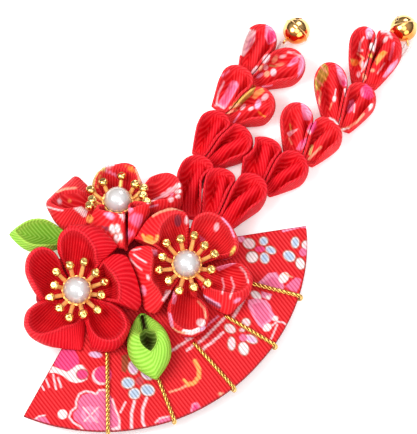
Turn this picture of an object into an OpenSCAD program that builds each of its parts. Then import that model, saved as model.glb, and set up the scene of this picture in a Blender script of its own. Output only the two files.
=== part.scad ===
// Ribbon flower hairpin lying on its back. Three flowers, two leaves and two petal
// strings are folded from grosgrain ribbon and sit on a stiff ribbon fan, with a felt
// base and a flat clip behind. Plan places are +X right and +Y up, as it is looked at.

/* [Folded ribbon] */
// Thickness of a folded ribbon wall
wall = 1.2; // [1:0.1:1.5]
// Clear space between neighbouring pieces
gap = 0.3; // [0.2:0.05:0.5]
// Height of a flower petal's foot, where it is sewn down
flower_foot = 2.5; // [2:0.1:3]
// Height of a string petal's foot
string_foot = 2; // [1.8:0.1:2.4]
// Number of sides round a petal
petal_sides = 14; // [10:2:24]

/* [Pearls and stamens] */
// Radius of a pearl
pearl_r = 4; // [3:0.1:4.2]
// Height of a pearl's centre over the foot of its flower
pearl_rise = 7.6; // [7:0.1:8.5]
// Number of stamens round a pearl
stamen_count = 12; // [6:2:16]
// Distance of the long stamens' heads from the flower's axis
stamen_reach = 8.6; // [7.5:0.1:9]
// How much shorter every second stamen is
stamen_step = 1.1; // [0:0.1:1.5]
// Radius of a stamen's round head
stamen_head_r = 1.25; // [0.8:0.05:1.3]
// Radius of a stamen's stalk
stamen_stalk_r = 0.5; // [0.3:0.05:0.6]

/* [Fan] */
// Radius of the ribbon fan
fan_r = 58.4; // [56:0.1:60]
// Direction of the fan's lower edge
fan_from = -114.3; // [-118:0.1:-112]
// Angle that the fan opens through
fan_sweep = 120.5; // [116:0.1:122]
// Thickness of the stiffened fan
fan_t = 1.2; // [1:0.1:1.5]
// Radius of the gold cords that cross the fan
gold_cord_r = 0.55; // [0.4:0.05:0.65]

/* [Bells] */
// Outer radius of a jingle bell
bell_r = 4; // [3.5:0.1:4.1]
// Wall of a bell
bell_wall = 0.5; // [0.4:0.05:0.7]
// Width of the slot in a bell's end
bell_slot = 0.9; // [0.6:0.1:1.2]
// Radius of the white thread that holds a bell
thread_r = 0.4; // [0.3:0.05:0.42]

/* [Felt and clip] */
// Thickness of the felt base
felt_t = 1.5; // [1:0.1:1.6]
// Length of the flat clip
clip_length = 48; // [40:1:52]
// Width of the flat clip
clip_width = 9; // [7:0.5:11]
// Thickness of the clip's strip
clip_t = 0.8; // [0.6:0.1:0.9]
// Space between the clip's jaws
clip_grip = 2.2; // [1.8:0.1:2.3]

/* [Hidden] */

// Colours, as the ribbon, metal and felt look
plain_red = [0.80, 0.05, 0.13];
print_red = [0.90, 0.16, 0.22];
leaf_green = [0.50, 0.76, 0.28];
gold = [0.90, 0.70, 0.28];
pearl_white = [0.94, 0.92, 0.91];
thread_white = [0.96, 0.94, 0.92];
felt_red = [0.62, 0.05, 0.10];
steel = [0.75, 0.76, 0.78];

// Middle of the whole outline in the plan that the tables below are written in
middle = [1.42, -4.16];

// Share of a petal's length where its keel is lowest
keel = 0.42;

// Height above the resting surface of each layer behind the flowers
layer_gap = 0.2;
clip_h = 2 * clip_t + clip_grip;
felt_z = clip_h + layer_gap;
fan_z = felt_z + felt_t + layer_gap;
fan_top = fan_z + fan_t;
fan_place = [-30.4, -12.1, fan_z];

// Columns of a petal: where it stands and how it is shaped
petal_turn = 0;
petal_rise = 1;
petal_roll = 2;
petal_length = 3;
petal_width = 4;
petal_height = 5;
petal_mouth = 6;
petal_climb = 7;

// Rows run counterclockwise round each flower. Climb is the share of the length where
// the rim starts to rise.
// turn, rise, roll, length, width, height, mouth, climb
plain_flower_petals = [
    [12, 30, 0, 20.5, 15.5, 8, 0.82, 0.40],
    [80, 14, -24, 18, 15, 9, 0.85, 0.25],
    [147, 12, 0, 16.5, 15, 8, 0.97, 0.20],
    [222, 16, 0, 20, 15.5, 8, 0.93, 0.20],
    [302, 16, 0, 20.8, 16, 8, 0.93, 0.20]
];
upper_flower_petals = [
    [12, 3, 0, 18.5, 14, 8.5, 0.95, 0.20],
    [88, 12, 0, 12.5, 16, 8, 0.97, 0.30],
    [184, 2, 0, 20, 15, 8.5, 0.95, 0.20],
    [238, 14, 0, 15.5, 15, 8.5, 0.90, 0.30],
    [304, 14, 0, 15, 14, 8.5, 0.90, 0.30]
];
right_flower_petals = [
    [48, 12, 0, 18, 15, 8.5, 0.95, 0.20],
    [112, 14, 19, 18, 15, 8.5, 0.88, 0.40],
    [184, 29, 0, 19, 15, 7.7, 0.82, 0.50],
    [268, 12, 0, 20.5, 14.5, 8, 0.90, 0.20],
    [344, 12, 0, 18.5, 15, 8, 0.95, 0.20]
];

// Columns of a flower
flower_name = 0;
flower_pearl = 1;
flower_lean = 2;
flower_cup = 3;
flower_color = 4;
flower_petals = 5;

// name, place of the pearl, lean towards -Y, height of the gold cup, colour, petals
flowers = [
    ["plain_flower", [-39.0, -28.9, 14.6], 15, 2.6, plain_red, plain_flower_petals],
    ["upper_flower", [-27.1, -0.5, 14.6], -16, 3.4, print_red, upper_flower_petals],
    ["right_flower", [-6.8, -20.6, 14.6], 11, 2.6, print_red, right_flower_petals]
];
// Distance from a flower's axis to its petals' feet
flower_hub = 1.5;
flower_belly = 0.62;
flower_roundness = 0.62;
flower_nose = 1;
flower_climb_run = 0.55;

// Height of the strings' petals above the surface, clear of the thread below them
string_z = 0.95;

// Columns of a pair of string petals, which share a foot
pair_foot = 0;
pair_rise = 1;
pair_height = 2;
pair_left = 3;
pair_right = 4;

// foot, rise, height, left petal [turn, length, width], right petal, from the bell end
left_pairs = [
    [[9.9, 42.2, string_z], 0, 7.7, [68.5, 16.6, 10.8], [14.5, 18.2, 11.4]],
    [[3.0, 30.6, string_z], 0, 7.7, [66.5, 15.2, 11.4], [12, 16, 11.4]],
    [[-3.5, 16.0, string_z], 0, 7.7, [68, 15.6, 11.4], [26.5, 16.2, 10.6]],
    [[-8.9, -2.2, 3.6], -11, 8.5, [71, 18.6, 11.8], []]
];
right_pairs = [
    [[44.2, 39.1, string_z], 0, 7.7, [87, 17.6, 10], [58, 18.4, 12.4]],
    [[37.1, 25.8, string_z], 0, 7.7, [97.5, 19.4, 11.4], [50, 16, 11.4]],
    [[26.0, 15.7, string_z], 0, 7.7, [94, 17.4, 11.4], [44, 15.6, 11.4]],
    [[13.8, 7.2, string_z], 0, 7.7, [78, 14.2, 9.8], [29, 16.6, 12.4]],
    [[0.8, -4.2, 3.6], -11, 8.5, [81, 14.8, 10.4], [42, 18.3, 12]]
];
string_hub = 1.2;
string_belly = 0.6;
string_roundness = 0.74;
string_nose = 3.5;
string_climb = [0.05, 0.5];
string_mouth = 0.88;
lone_room = 14;

// Columns of a leaf
leaf_name = 0;
leaf_place = 1;
leaf_petal = 2;
leaf_belly = 3;
leaf_foot = 4;

// name, place of the foot, petal columns as above, widest share, height of the foot
leaves = [
    ["side_leaf", [-38, -9.5, 5.8], [177, 0, 0, 20.8, 10, 5.6, 0.80], 0.60, 1.6],
    ["lower_leaf", [-20.1, -33.2, 7.2], [-79, 0, 0, 22.8, 13, 7.4, 0.40], 0.55, 4]
];
leaf_roundness = 0.62;
leaf_nose = 0.5;
leaf_climb = [0.1, 0.5];

// Direction and inner end of each gold cord on the fan
// direction, distance where it starts
gold_cords = [
    [-15.7, 36],
    [-32.4, 36],
    [-50.1, 40],
    [-70.0, 44],
    [-89.4, 32]
];
gold_cord_return = 7;
gold_cord_gap = 0.1;

// Columns of a bell
bell_place = 0;
bell_turn = 1;

// centre, direction that its slot faces
bell_z = bell_r + 0.25;
left_bell_row = [[25.5, 57.6, bell_z], 46];
right_bell_row = [[57.4, 58.4, bell_z], 103];

// Routes of the threads from under the felt, past the petals' feet, towards the bells
thread_z = 0.45;
left_route = [
    [-12.5, -9, 3.4],
    [-8.9, -2.2, 3.1],
    [-6.3, 6.5, 1.3],
    [-3.5, 16, thread_z],
    [3, 30.6, thread_z],
    [9.9, 42.2, thread_z],
    [14.9, 46.3, thread_z],
    [18.6, 49.5, 1.2]
];
right_route = [
    [-1.5, -9, 3.4],
    [0.8, -4.2, 3.1],
    [6.2, 0.8, 1.4],
    [13.8, 7.2, thread_z],
    [26, 15.7, thread_z],
    [37.1, 25.8, thread_z],
    [44.2, 39.1, thread_z],
    [50.5, 45, thread_z],
    [55, 49, 0.9]
];
thread_sides = 8;
thread_space = 0.45;
bell_ring_r = 0.85;
bell_ring_wire = 0.3;

// Felt discs behind the flowers, middle and radius
felt_discs = [
    [[-38.5, -26.5], 14],
    [[-27.0, -3.5], 14.5],
    [[-7.5, -18.5], 14],
    [[-24.0, -17.0], 12]
];

// Middle and direction of the clip
clip_place = [-21, -21];
clip_turn = -56;

round_fn = 64;
fine_fn = 24;

// Smooth step from 0 at one place to 1 at another
function blend(from, to, x) =
    let(t = min(1, max(0, (x - from) / (to - from))))
    t * t * (3 - 2 * t);

// Columns of a pouch, the shape that every folded petal has
pouch_length = 0;
pouch_width = 1;
pouch_height = 2;
pouch_foot = 3;
pouch_mouth = 4;
pouch_belly = 5;
pouch_round = 6;
pouch_nose = 7;
pouch_climb = 8;
pouch_hub = 9;
pouch_rise = 10;
pouch_roll = 11;
pouch_left = 12;
pouch_right = 13;

// Half the width at share u of the length: a pointed foot, a belly and a round tip
function half_width(p, u) =
    u <= 0 || u >= 1 ? 0
    : p[pouch_width] / 2
        * pow(sin(180 * pow(u, ln(0.5) / ln(p[pouch_belly]))), p[pouch_round]);

// One point of a pouch lying along +X, at angle a round it. Spread is the share of the
// full outline, lift the share of the way from keel to rim, inset the wall inside it.
function pouch_point(p, a, spread, lift, inset) =
    let(
        length = p[pouch_length],
        u = (1 + cos(a)) / 2,
        keel_x = keel * length,
        x = keel_x + (u * length - keel_x) * spread * (1 - 2 * inset / length),
        half = half_width(p, u) * spread * (1 - 2 * inset / p[pouch_width]),
        climb = blend(p[pouch_climb][0], p[pouch_climb][1], u),
        rim = p[pouch_foot] + (p[pouch_height] - p[pouch_foot]) * climb,
        low = inset + p[pouch_nose] * blend(0.62, 1, x / length)
    )
    [x, a <= 180 ? half : -half, low + (rim - low) * lift];

// Turn a point about X, then raise it about Y and move it out from the hub
function rolled(q, deg) =
    [q.x, q.y * cos(deg) - q.z * sin(deg), q.y * sin(deg) + q.z * cos(deg)];
function raised(q, deg) =
    [q.x * cos(deg) - q.z * sin(deg), q.y, q.x * sin(deg) + q.z * cos(deg)];

// How far a point at x may stand to the side before it meets the plane half way to
// its neighbour, deg away from the petal's own direction
function room(x, deg, inset) =
    let(d = min(deg, 80))
    max(inset > 0 ? 0.05 : 0.15, x * tan(d) - (gap / 2 + inset) / cos(d));

// Press a point against the planes half way to the neighbours
function pressed(p, q, inset) =
    let(x = q.x + p[pouch_hub])
    [
        x,
        max(-room(x, p[pouch_right], inset), min(room(x, p[pouch_left], inset), q.y)),
        q.z
    ];

function pouch_ring(p, spread, lift, inset) = [
    for (i = [0 : petal_sides - 1])
        pressed(
            p,
            raised(
                rolled(pouch_point(p, 360 * i / petal_sides, spread, lift, inset), p[pouch_roll]),
                p[pouch_rise]
            ),
            inset
        )
];

// Rings from the keel outside, over the rim, to the keel inside
function pouch_rings(p) =
    let(mouth = p[pouch_mouth], shoulder = (1 + mouth) / 2 + 0.03)
    [
        pouch_ring(p, 0.25, 0, 0),
        pouch_ring(p, 0.75, 0.10, 0),
        pouch_ring(p, 1, 0.45, 0),
        pouch_ring(p, shoulder, 0.85, 0),
        pouch_ring(p, mouth, 1, 0),
        pouch_ring(p, mouth, 1, wall),
        pouch_ring(p, 1, 0.45, wall),
        pouch_ring(p, 0.72, 0.12, wall),
        pouch_ring(p, 0.22, 0, wall)
    ];

function average(points) = [for (v = points) 1] * points / len(points);

// A folded petal as a hollow pouch with its foot at the hub, open upwards
module pouch(p) {
    rings = pouch_rings(p);
    n = petal_sides;
    last = len(rings) - 1;
    points = [
        for (ring = rings) each ring,
        average(rings[0]),
        average(rings[last])
    ];
    under = len(points) - 2;
    over = len(points) - 1;
    faces = [
        for (r = [0 : last - 1], i = [0 : n - 1])
            let(a = r * n + i, b = r * n + (i + 1) % n)
            each [[a, a + n, b + n], [a, b + n, b]],
        for (i = [0 : n - 1]) [under, i, (i + 1) % n],
        for (i = [0 : n - 1]) [over, last * n + (i + 1) % n, last * n + i]
    ];
    polyhedron(points = points, faces = faces, convexity = 6);
}

function wrap(turn) = turn < 0 ? turn + 360 : turn;

// Half the angle from petal i of a flower to its neighbour, on either side
function room_left(petals, i) =
    wrap(petals[(i + 1) % len(petals)][petal_turn] - petals[i][petal_turn]) / 2;
function room_right(petals, i) = room_left(petals, (i + len(petals) - 1) % len(petals));

function flower_pouch(petals, i) =
    let(p = petals[i])
    [
        p[petal_length], p[petal_width], p[petal_height], flower_foot, p[petal_mouth],
        flower_belly, flower_roundness, flower_nose,
        [p[petal_climb], p[petal_climb] + flower_climb_run], flower_hub,
        p[petal_rise], p[petal_roll],
        room_left(petals, i), room_right(petals, i)
    ];

// Put children in a flower's own frame: foot at the origin, axis along +Z
module in_flower(flower) {
    translate(flower[flower_pearl])
        rotate([flower[flower_lean], 0, 0])
            translate([0, 0, -pearl_rise])
                children();
}

module flower_petal(flower, i) {
    petals = flower[flower_petals];
    color(flower[flower_color])
        in_flower(flower)
            rotate([0, 0, petals[i][petal_turn]])
                pouch(flower_pouch(petals, i));
}

module pearl(flower) {
    color(pearl_white)
        in_flower(flower)
            translate([0, 0, pearl_rise])
                sphere(r = pearl_r, $fn = round_fn);
}

// Gold finding under a pearl: a round cup with stamens standing out of its side
module stamens(flower) {
    color(gold)
        in_flower(flower) {
            pearl_cup(flower[flower_cup]);
            for (i = [0 : stamen_count - 1])
                stamen(15 + 360 / stamen_count * i, stamen_reach - stamen_step * (i % 2));
        }
}

cup_gap = 0.15;
cup_wall = 0.6;

module pearl_cup(height) {
    outer = pearl_r + cup_gap + cup_wall;
    translate([0, 0, pearl_rise])
        rotate_extrude($fn = round_fn)
            intersection() {
                difference() {
                    circle(r = outer, $fn = round_fn);
                    circle(r = pearl_r + cup_gap, $fn = round_fn);
                }
                translate([0, -outer])
                    square([outer, height]);
            }
}

stalk_start = [3.4, 4.4];
stalk_end_z = 8.2;

module stamen(turn, reach) {
    run = reach - stalk_start.x;
    climb = stalk_end_z - stalk_start.y;
    rotate([0, 0, turn]) {
        translate([stalk_start.x, 0, stalk_start.y])
            rotate([0, atan2(run, climb), 0])
                cylinder(h = norm([run, climb]), r = stamen_stalk_r, $fn = fine_fn);
        translate([reach, 0, stalk_end_z])
            sphere(r = stamen_head_r, $fn = fine_fn);
    }
}

// Pouch of one petal of a pair, pressed against the other one half way between them.
// A lone petal is pressed by its neighbour on the right string instead.
function string_pouch(pair, petal, half, on_left) = [
    petal[1], petal[2], pair[pair_height], string_foot, string_mouth,
    string_belly, string_roundness, string_nose, string_climb, string_hub,
    pair[pair_rise], 0,
    on_left ? 90 : half, on_left ? half : 90
];

module string_petal(pair, on_left) {
    alone = len(pair[pair_right]) == 0;
    petal = on_left ? pair[pair_left] : pair[pair_right];
    half = alone ? lone_room : (pair[pair_left][0] - pair[pair_right][0]) / 2;
    color(print_red)
        translate(pair[pair_foot])
            rotate([0, 0, petal[0]])
                pouch(string_pouch(pair, petal, half, on_left));
}

module leaf(row) {
    p = row[leaf_petal];
    color(leaf_green)
        translate(row[leaf_place])
            rotate([0, 0, p[petal_turn]])
                pouch([
                    p[petal_length], p[petal_width], p[petal_height], row[leaf_foot],
                    p[petal_mouth], row[leaf_belly], leaf_roundness, leaf_nose, leaf_climb, 0,
                    p[petal_rise], p[petal_roll], 90, 90
                ]);
}

// Distance from the fan's centre to the cord where it goes round the edge
cord_edge = fan_r + 0.2 - gold_cord_r;

// Ribbon fan with a small notch in its edge under each gold cord
module fan() {
    color(print_red)
        translate(fan_place)
            difference() {
                rotate([0, 0, fan_from])
                    rotate_extrude(angle = fan_sweep, $fn = 180)
                        square([fan_r, fan_t]);
                for (row = gold_cords)
                    rotate([0, 0, row[0]])
                        translate([cord_edge, 0, -1])
                            cylinder(h = fan_t + 2, r = gold_cord_r + gold_cord_gap, $fn = fine_fn);
            }
}

// Cord over the fan's face, round its edge and a little way back behind it
module gold_cord(row) {
    leg_z = fan_t / 2 + gold_cord_gap + gold_cord_r;
    color(gold)
        translate(fan_place + [0, 0, fan_t / 2])
            rotate([0, 0, row[0]]) {
                translate([row[1], 0, leg_z])
                    rotate([0, 90, 0])
                        cylinder(h = cord_edge - row[1], r = gold_cord_r, $fn = fine_fn);
                translate([cord_edge - gold_cord_return, 0, -leg_z])
                    rotate([0, 90, 0])
                        cylinder(h = gold_cord_return, r = gold_cord_r, $fn = fine_fn);
                translate([cord_edge, 0, -leg_z])
                    cylinder(h = 2 * leg_z, r = gold_cord_r, $fn = fine_fn);
                for (side = [-1, 1])
                    translate([cord_edge, 0, side * leg_z])
                        sphere(r = gold_cord_r, $fn = fine_fn);
            }
}

module felt_base() {
    color(felt_red)
        translate([0, 0, felt_z])
            linear_extrude(felt_t)
                for (disc = felt_discs)
                    translate(disc[0])
                        circle(r = disc[1], $fn = round_fn * 2);
}

// Flat strip bent back on itself, its jaws one over the other
module hair_clip() {
    bend = clip_h / 2;
    straight = clip_length - bend;
    color(steel)
        translate([clip_place.x, clip_place.y, 0])
            rotate([0, 0, clip_turn])
                translate([-clip_length / 2 + bend, 0, 0])
                    intersection() {
                        rotate([90, 0, 0])
                            linear_extrude(clip_width, center = true)
                                difference() {
                                    union() {
                                        translate([0, bend])
                                            circle(r = bend, $fn = round_fn);
                                        square([straight, clip_h]);
                                    }
                                    translate([0, bend])
                                        circle(r = bend - clip_t, $fn = round_fn);
                                    translate([0, clip_t])
                                        square([straight + 1, clip_grip]);
                                }
                        linear_extrude(clip_h + 1)
                            union() {
                                translate([-bend - 1, -clip_width / 2])
                                    square([straight + bend + 1 - clip_width / 2, clip_width]);
                                translate([straight - clip_width / 2, 0])
                                    circle(r = clip_width / 2, $fn = round_fn);
                            }
                    }
}

// Jingle bell with a band round its middle, a slot in its end and a ring to hang by
module bell(row) {
    color(gold)
        translate(row[bell_place])
            rotate([0, 0, row[bell_turn]]) {
                difference() {
                    rotate([0, 90, 0])
                        rotate_extrude($fn = round_fn)
                            bell_profile();
                    translate([bell_slot_x, -bell_r - 1, -bell_slot / 2])
                        cube([bell_r, 2 * bell_r + 2, bell_slot]);
                }
                translate([-bell_ring_x, 0, 0])
                    rotate([90, 0, 0])
                        rotate_extrude($fn = fine_fn * 2)
                            translate([bell_ring_r, 0])
                                circle(r = bell_ring_wire, $fn = fine_fn);
            }
}

bell_slot_x = 1.6;
bell_band = 0.7;
bell_ring_x = bell_r + bell_ring_r - 0.2;

module bell_profile() {
    intersection() {
        difference() {
            union() {
                circle(r = bell_r, $fn = round_fn);
                square([2 * bell_z, bell_band], center = true);
            }
            circle(r = bell_r - bell_wall, $fn = round_fn);
        }
        translate([0, -bell_z])
            square([bell_z, 2 * bell_z]);
    }
}

function flat_unit(v) = [v.x, v.y, 0] / norm([v.x, v.y]);
function to_left(v) = [-v.y, v.x, 0];

// Places along one strand of a doubled thread, to the left of its route by space
function strand(route, space) =
    let(last = len(route) - 1)
    [
        for (i = [0 : last])
            route[i] + space * to_left(flat_unit(route[min(i + 1, last)] - route[max(i - 1, 0)]))
    ];

// Half turn from the left strand's end to the right one's, through the bell's ring
function ring_turn(center, along) = [
    for (a = [90 : -30 : -90])
        center + bell_ring_r * (cos(a) * along + sin(a) * to_left(along))
];

function thread_path(row, route) =
    let(
        out = [cos(row[bell_turn]), sin(row[bell_turn]), 0],
        center = row[bell_place] - (bell_ring_x + bell_ring_r) * out,
        along = flat_unit(center - route[len(route) - 1]),
        back = strand(route, -thread_space)
    )
    concat(
        strand(route, thread_space),
        ring_turn(center, along),
        [for (i = [len(back) - 1 : -1 : 0]) back[i]]
    );

function unit(v) = v / norm(v);

// Ring of points round place i of a path, square to it
function tube_ring(path, i, r) =
    let(
        ahead = unit(path[min(i + 1, len(path) - 1)] - path[max(i - 1, 0)]),
        side = unit(cross(ahead, [0, 0, 1])),
        above = cross(side, ahead)
    )
    [
        for (k = [0 : thread_sides - 1])
            let(a = 360 * k / thread_sides)
            path[i] + r * (cos(a) * side + sin(a) * above)
    ];

// White thread doubled back through the bell's ring
module string_thread(row, route) {
    path = thread_path(row, route);
    n = thread_sides;
    last = len(path) - 1;
    points = [for (i = [0 : last]) each tube_ring(path, i, thread_r)];
    faces = [
        for (i = [0 : last - 1], k = [0 : n - 1])
            let(a = i * n + k, b = i * n + (k + 1) % n)
            each [[a, b, b + n], [a, b + n, a + n]],
        [for (k = [n - 1 : -1 : 0]) k],
        [for (k = [0 : n - 1]) last * n + k]
    ];
    color(thread_white)
        polyhedron(points = points, faces = faces, convexity = 8);
}

function numbered(name, i) = str(name, "_", i + 1);

translate([-middle.x, -middle.y, 0]) {
    fan();
    for (i = [0 : len(gold_cords) - 1])
        gold_cord(gold_cords[i]);
    felt_base();
    hair_clip();
    for (flower = flowers) {
        for (i = [0 : len(flower[flower_petals]) - 1])
            flower_petal(flower, i);
        stamens(flower);
        pearl(flower);
    }
    for (row = leaves)
        leaf(row);
    for (i = [0 : 6])
        string_petal(left_pairs[floor(i / 2)], i % 2 == 0);
    for (i = [0 : 9])
        string_petal(right_pairs[floor(i / 2)], i % 2 == 0);
    string_thread(left_bell_row, left_route);  // left_string_thread
    string_thread(right_bell_row, right_route);  // right_string_thread
    bell(left_bell_row);  // left_bell
    bell(right_bell_row);  // right_bell
}
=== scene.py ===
import math
import bpy
import numpy as np
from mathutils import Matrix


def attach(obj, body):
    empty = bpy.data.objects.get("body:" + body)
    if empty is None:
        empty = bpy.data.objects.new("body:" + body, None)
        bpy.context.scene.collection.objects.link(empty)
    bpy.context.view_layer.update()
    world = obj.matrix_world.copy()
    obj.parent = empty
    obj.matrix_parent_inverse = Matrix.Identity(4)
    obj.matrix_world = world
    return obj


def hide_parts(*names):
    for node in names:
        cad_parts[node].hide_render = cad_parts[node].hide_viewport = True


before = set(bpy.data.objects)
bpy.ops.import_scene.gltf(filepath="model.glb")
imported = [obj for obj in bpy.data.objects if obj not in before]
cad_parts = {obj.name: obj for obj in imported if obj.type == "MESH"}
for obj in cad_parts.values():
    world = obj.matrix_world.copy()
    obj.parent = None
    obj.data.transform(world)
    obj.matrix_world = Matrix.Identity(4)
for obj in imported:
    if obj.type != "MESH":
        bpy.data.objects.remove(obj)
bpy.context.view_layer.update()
print("frame loaded:", len(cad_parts), "nodes")

# Plan places below are in the source's layout mm; its middle is taken off when a mesh is made.
planMiddle = np.array([1.42, -4.16, 0.0])
tau = 2 * math.pi

# The picture, 417 x 434 pixels, is seen from 68 degrees up.
picture = {"scale": 3.4, "middle": (210, 217)}  # pixels to the mm, and where the layout's origin falls
upOfY, upOfZ = 0.9272, 0.3746                   # sine and cosine of 68 degrees

viewSettings = {
    "elevation": 68,
    "aim": (-0.00186, 0.00416, 0.0),
    "distance": 4.5,
    "sensor": 36,                # mm
    "pictureHeight": 434 / 3400, # metres shown by the long side
}


def makeCamera(s):
    # a long lens, level, aimed at the middle of the picture:
    # focal length = sensor * distance / height shown
    camera = bpy.data.objects.new("camera", bpy.data.cameras.new("camera"))
    bpy.context.scene.collection.objects.link(camera)
    lift = math.radians(s["elevation"])
    camera.location = (
        s["aim"][0],
        s["aim"][1] - s["distance"] * math.cos(lift),
        s["aim"][2] + s["distance"] * math.sin(lift),
    )
    camera.rotation_euler = (math.pi / 2 - lift, 0, 0)
    camera.data.sensor_width = s["sensor"]
    camera.data.lens = s["sensor"] * s["distance"] / s["pictureHeight"]
    camera.data.clip_start = 0.05
    camera.data.clip_end = 20
    bpy.context.scene.camera = camera


makeCamera(viewSettings)


def blend(start, end, x):
    # smooth step: 3t^2 - 2t^3, with t the share of the way from start to end
    t = np.clip((x - start) / (end - start), 0, 1)
    return t * t * (3 - 2 * t)


def softMin(a, b, width):
    # a held below b, rounded over about width: b - width * log(1 + e^((b - a) / width))
    return b - width * np.logaddexp(0, (b - a) / width)


def softMax(a, b, width):
    # the greater of a and b with its corner rounded: half of a + b + sqrt((a - b)^2 + width^2)
    return 0.5 * (a + b + np.sqrt((a - b) ** 2 + width ** 2))


def pushOut(points, middle, reach, width):
    # points nearer to middle than reach move straight out: middle + direction * softMax(gap, reach)
    apart = points - middle
    gap = np.linalg.norm(apart, axis=2)[..., None]
    return middle + apart / gap * softMax(gap, reach, width)


def besideLine(x, room, off):
    # y at x of a line through the hub, room degrees round and moved over by off: x tan + off / cos
    return x * math.tan(math.radians(room)) + off / math.cos(math.radians(room))


def wayGone(path):
    # the way gone along a path at each of its points: the running sum of its steps' lengths
    return np.concatenate([[0], np.cumsum(np.linalg.norm(np.diff(path, axis=0), axis=1))])


def pointsAt(path, gone, at):
    # the path's points at given ways along it, each coordinate read off straight lines
    return np.stack([np.interp(at, gone, path[:, i]) for i in range(path.shape[1])], 1)


def evenWalk(stops, count=None, passes=6, spacing=None):
    # points evenly along the straight lines between the stops, then each averaged with its
    # neighbours a few times, (last + 2 * this + next) / 4, with the two ends kept
    stops = np.array(stops, float)
    gone = wayGone(stops)
    walk = pointsAt(stops, gone, np.linspace(0, gone[-1], count or int(gone[-1] / spacing)))
    for _ in range(passes):
        walk[1:-1] = (walk[:-2] + 2 * walk[1:-1] + walk[2:]) / 4
    return walk


def turned(points, axis, degrees):
    # points turned about one axis (0, 1 or 2) by the right-hand rule
    c, s = math.cos(math.radians(degrees)), math.sin(math.radians(degrees))
    i, j = (axis + 1) % 3, (axis + 2) % 3
    out = points.copy()
    out[..., i] = points[..., i] * c - points[..., j] * s
    out[..., j] = points[..., i] * s + points[..., j] * c
    return out


def linear(red, green, blue):
    # screen colour, 0 to 255, to the light's own scale: ((c + 0.055) / 1.055)^2.4
    c = np.array([red, green, blue]) / 255
    return np.where(c <= 0.04045, c / 12.92, ((c + 0.055) / 1.055) ** 2.4)


def gridFaces(rows, columns, along=False, flip=False):
    # quads between neighbouring rows and columns, the last column joined to the first;
    # along joins the last row to the first too
    r, c = np.meshgrid(np.arange(rows if along else rows - 1), np.arange(columns), indexing="ij")
    r2, c2 = (r + 1) % rows, (c + 1) % columns
    quads = np.stack([r * columns + c, r * columns + c2, r2 * columns + c2, r2 * columns + c], -1)
    quads = quads.reshape(-1, 4)
    return quads[:, ::-1] if flip else quads


def fanFaces(ring, pole, flip=False):
    # triangles from a closed ring of points to one pole
    faces = np.stack([ring, np.roll(ring, -1), np.full(len(ring), pole)], 1)
    return faces[:, ::-1] if flip else faces


def closedGrid(grid):
    # a grid of rings with its first and last ring closed by a pole at their middle
    rows, columns = grid.shape[:2]
    points = np.concatenate([grid.reshape(-1, 3), grid[0].mean(0)[None], grid[-1].mean(0)[None]])
    ring = np.arange(columns)
    faces = [
        gridFaces(rows, columns),
        fanFaces(ring, rows * columns, flip=True),
        fanFaces(ring + (rows - 1) * columns, rows * columns + 1),
    ]
    return points, faces


def tube(path, radius, sides, ply=None):
    # a round section carried along a path: centre + radius * (cos t * side + sin t * up), the
    # frame carried on by removing what turns out of square; ply, a count, turns and depth, adds
    # strands that wind: radius * (1 + depth * cos(count * t - turns * way gone))
    path = np.array(path, float)
    ahead = np.gradient(path, axis=0)
    ahead /= np.linalg.norm(ahead, axis=1)[:, None]
    side = np.zeros_like(path)
    guess = np.array([0.0, 0, 1]) if abs(ahead[0][2]) < 0.9 else np.array([1.0, 0, 0])
    last = np.cross(guess, ahead[0])
    for i, a in enumerate(ahead):
        last = last - a * (last @ a)
        last = last / np.linalg.norm(last)
        side[i] = last
    up = np.cross(ahead, side)
    t = np.arange(sides) / sides * tau
    r = np.broadcast_to(np.asarray(radius, float).reshape(-1, 1), (len(path), sides)).copy()
    if ply:
        count, turns, depth = ply
        r *= 1 + depth * np.cos(count * t[None] - turns * wayGone(path)[:, None])
    c, s = np.cos(t)[None, :, None], np.sin(t)[None, :, None]
    return path[:, None] + r[..., None] * (c * side[:, None] + s * up[:, None])


def makePiece(name, points, faces, paint, nodes, uv=None, tints=None, sharp=None, second=None):
    # points in layout mm, faces a list of index arrays; uv by point or by face corner, tints by
    # point; second is another material and the places in the list of the face arrays it covers
    mesh = bpy.data.meshes.new(name)
    corners = np.concatenate([f.ravel() for f in faces]).astype(np.int32)
    sides = np.concatenate([np.full(len(f), f.shape[1]) for f in faces])
    mesh.vertices.add(len(points))
    mesh.vertices.foreach_set("co", ((points - planMiddle) / 1000).astype(np.float32).ravel())
    mesh.loops.add(len(corners))
    mesh.loops.foreach_set("vertex_index", corners)
    mesh.polygons.add(len(sides))
    mesh.polygons.foreach_set("loop_start", (np.cumsum(sides) - sides).astype(np.int32))
    mesh.polygons.foreach_set("use_smooth", np.ones(len(sides), bool))
    if uv is not None:
        layer = mesh.uv_layers.new(name="ribs")
        values = uv if len(uv) == len(corners) else uv[corners]
        layer.data.foreach_set("uv", values.astype(np.float32).ravel())
    # the tints hold the print and any painted shade, highlight and reflection
    if tints is not None:
        layer = mesh.color_attributes.new(name="print", type="FLOAT_COLOR", domain="POINT")
        colours = np.concatenate([tints, np.ones((len(tints), 1))], 1)
        layer.data.foreach_set("color", colours.astype(np.float32).ravel())
    mesh.update(calc_edges=True)
    if sharp:
        mesh.set_sharp_from_angle(angle=math.radians(sharp))
    mesh.materials.append(paint)
    if second:
        mesh.materials.append(second[0])
        slots = np.concatenate([np.full(len(f), int(i in second[1])) for i, f in enumerate(faces)])
        mesh.polygons.foreach_set("material_index", slots.astype(np.int32))
    piece = bpy.data.objects.new(name, mesh)
    bpy.context.scene.collection.objects.link(piece)
    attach(piece, "root")
    if nodes:
        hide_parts(*nodes)
    return piece


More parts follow.
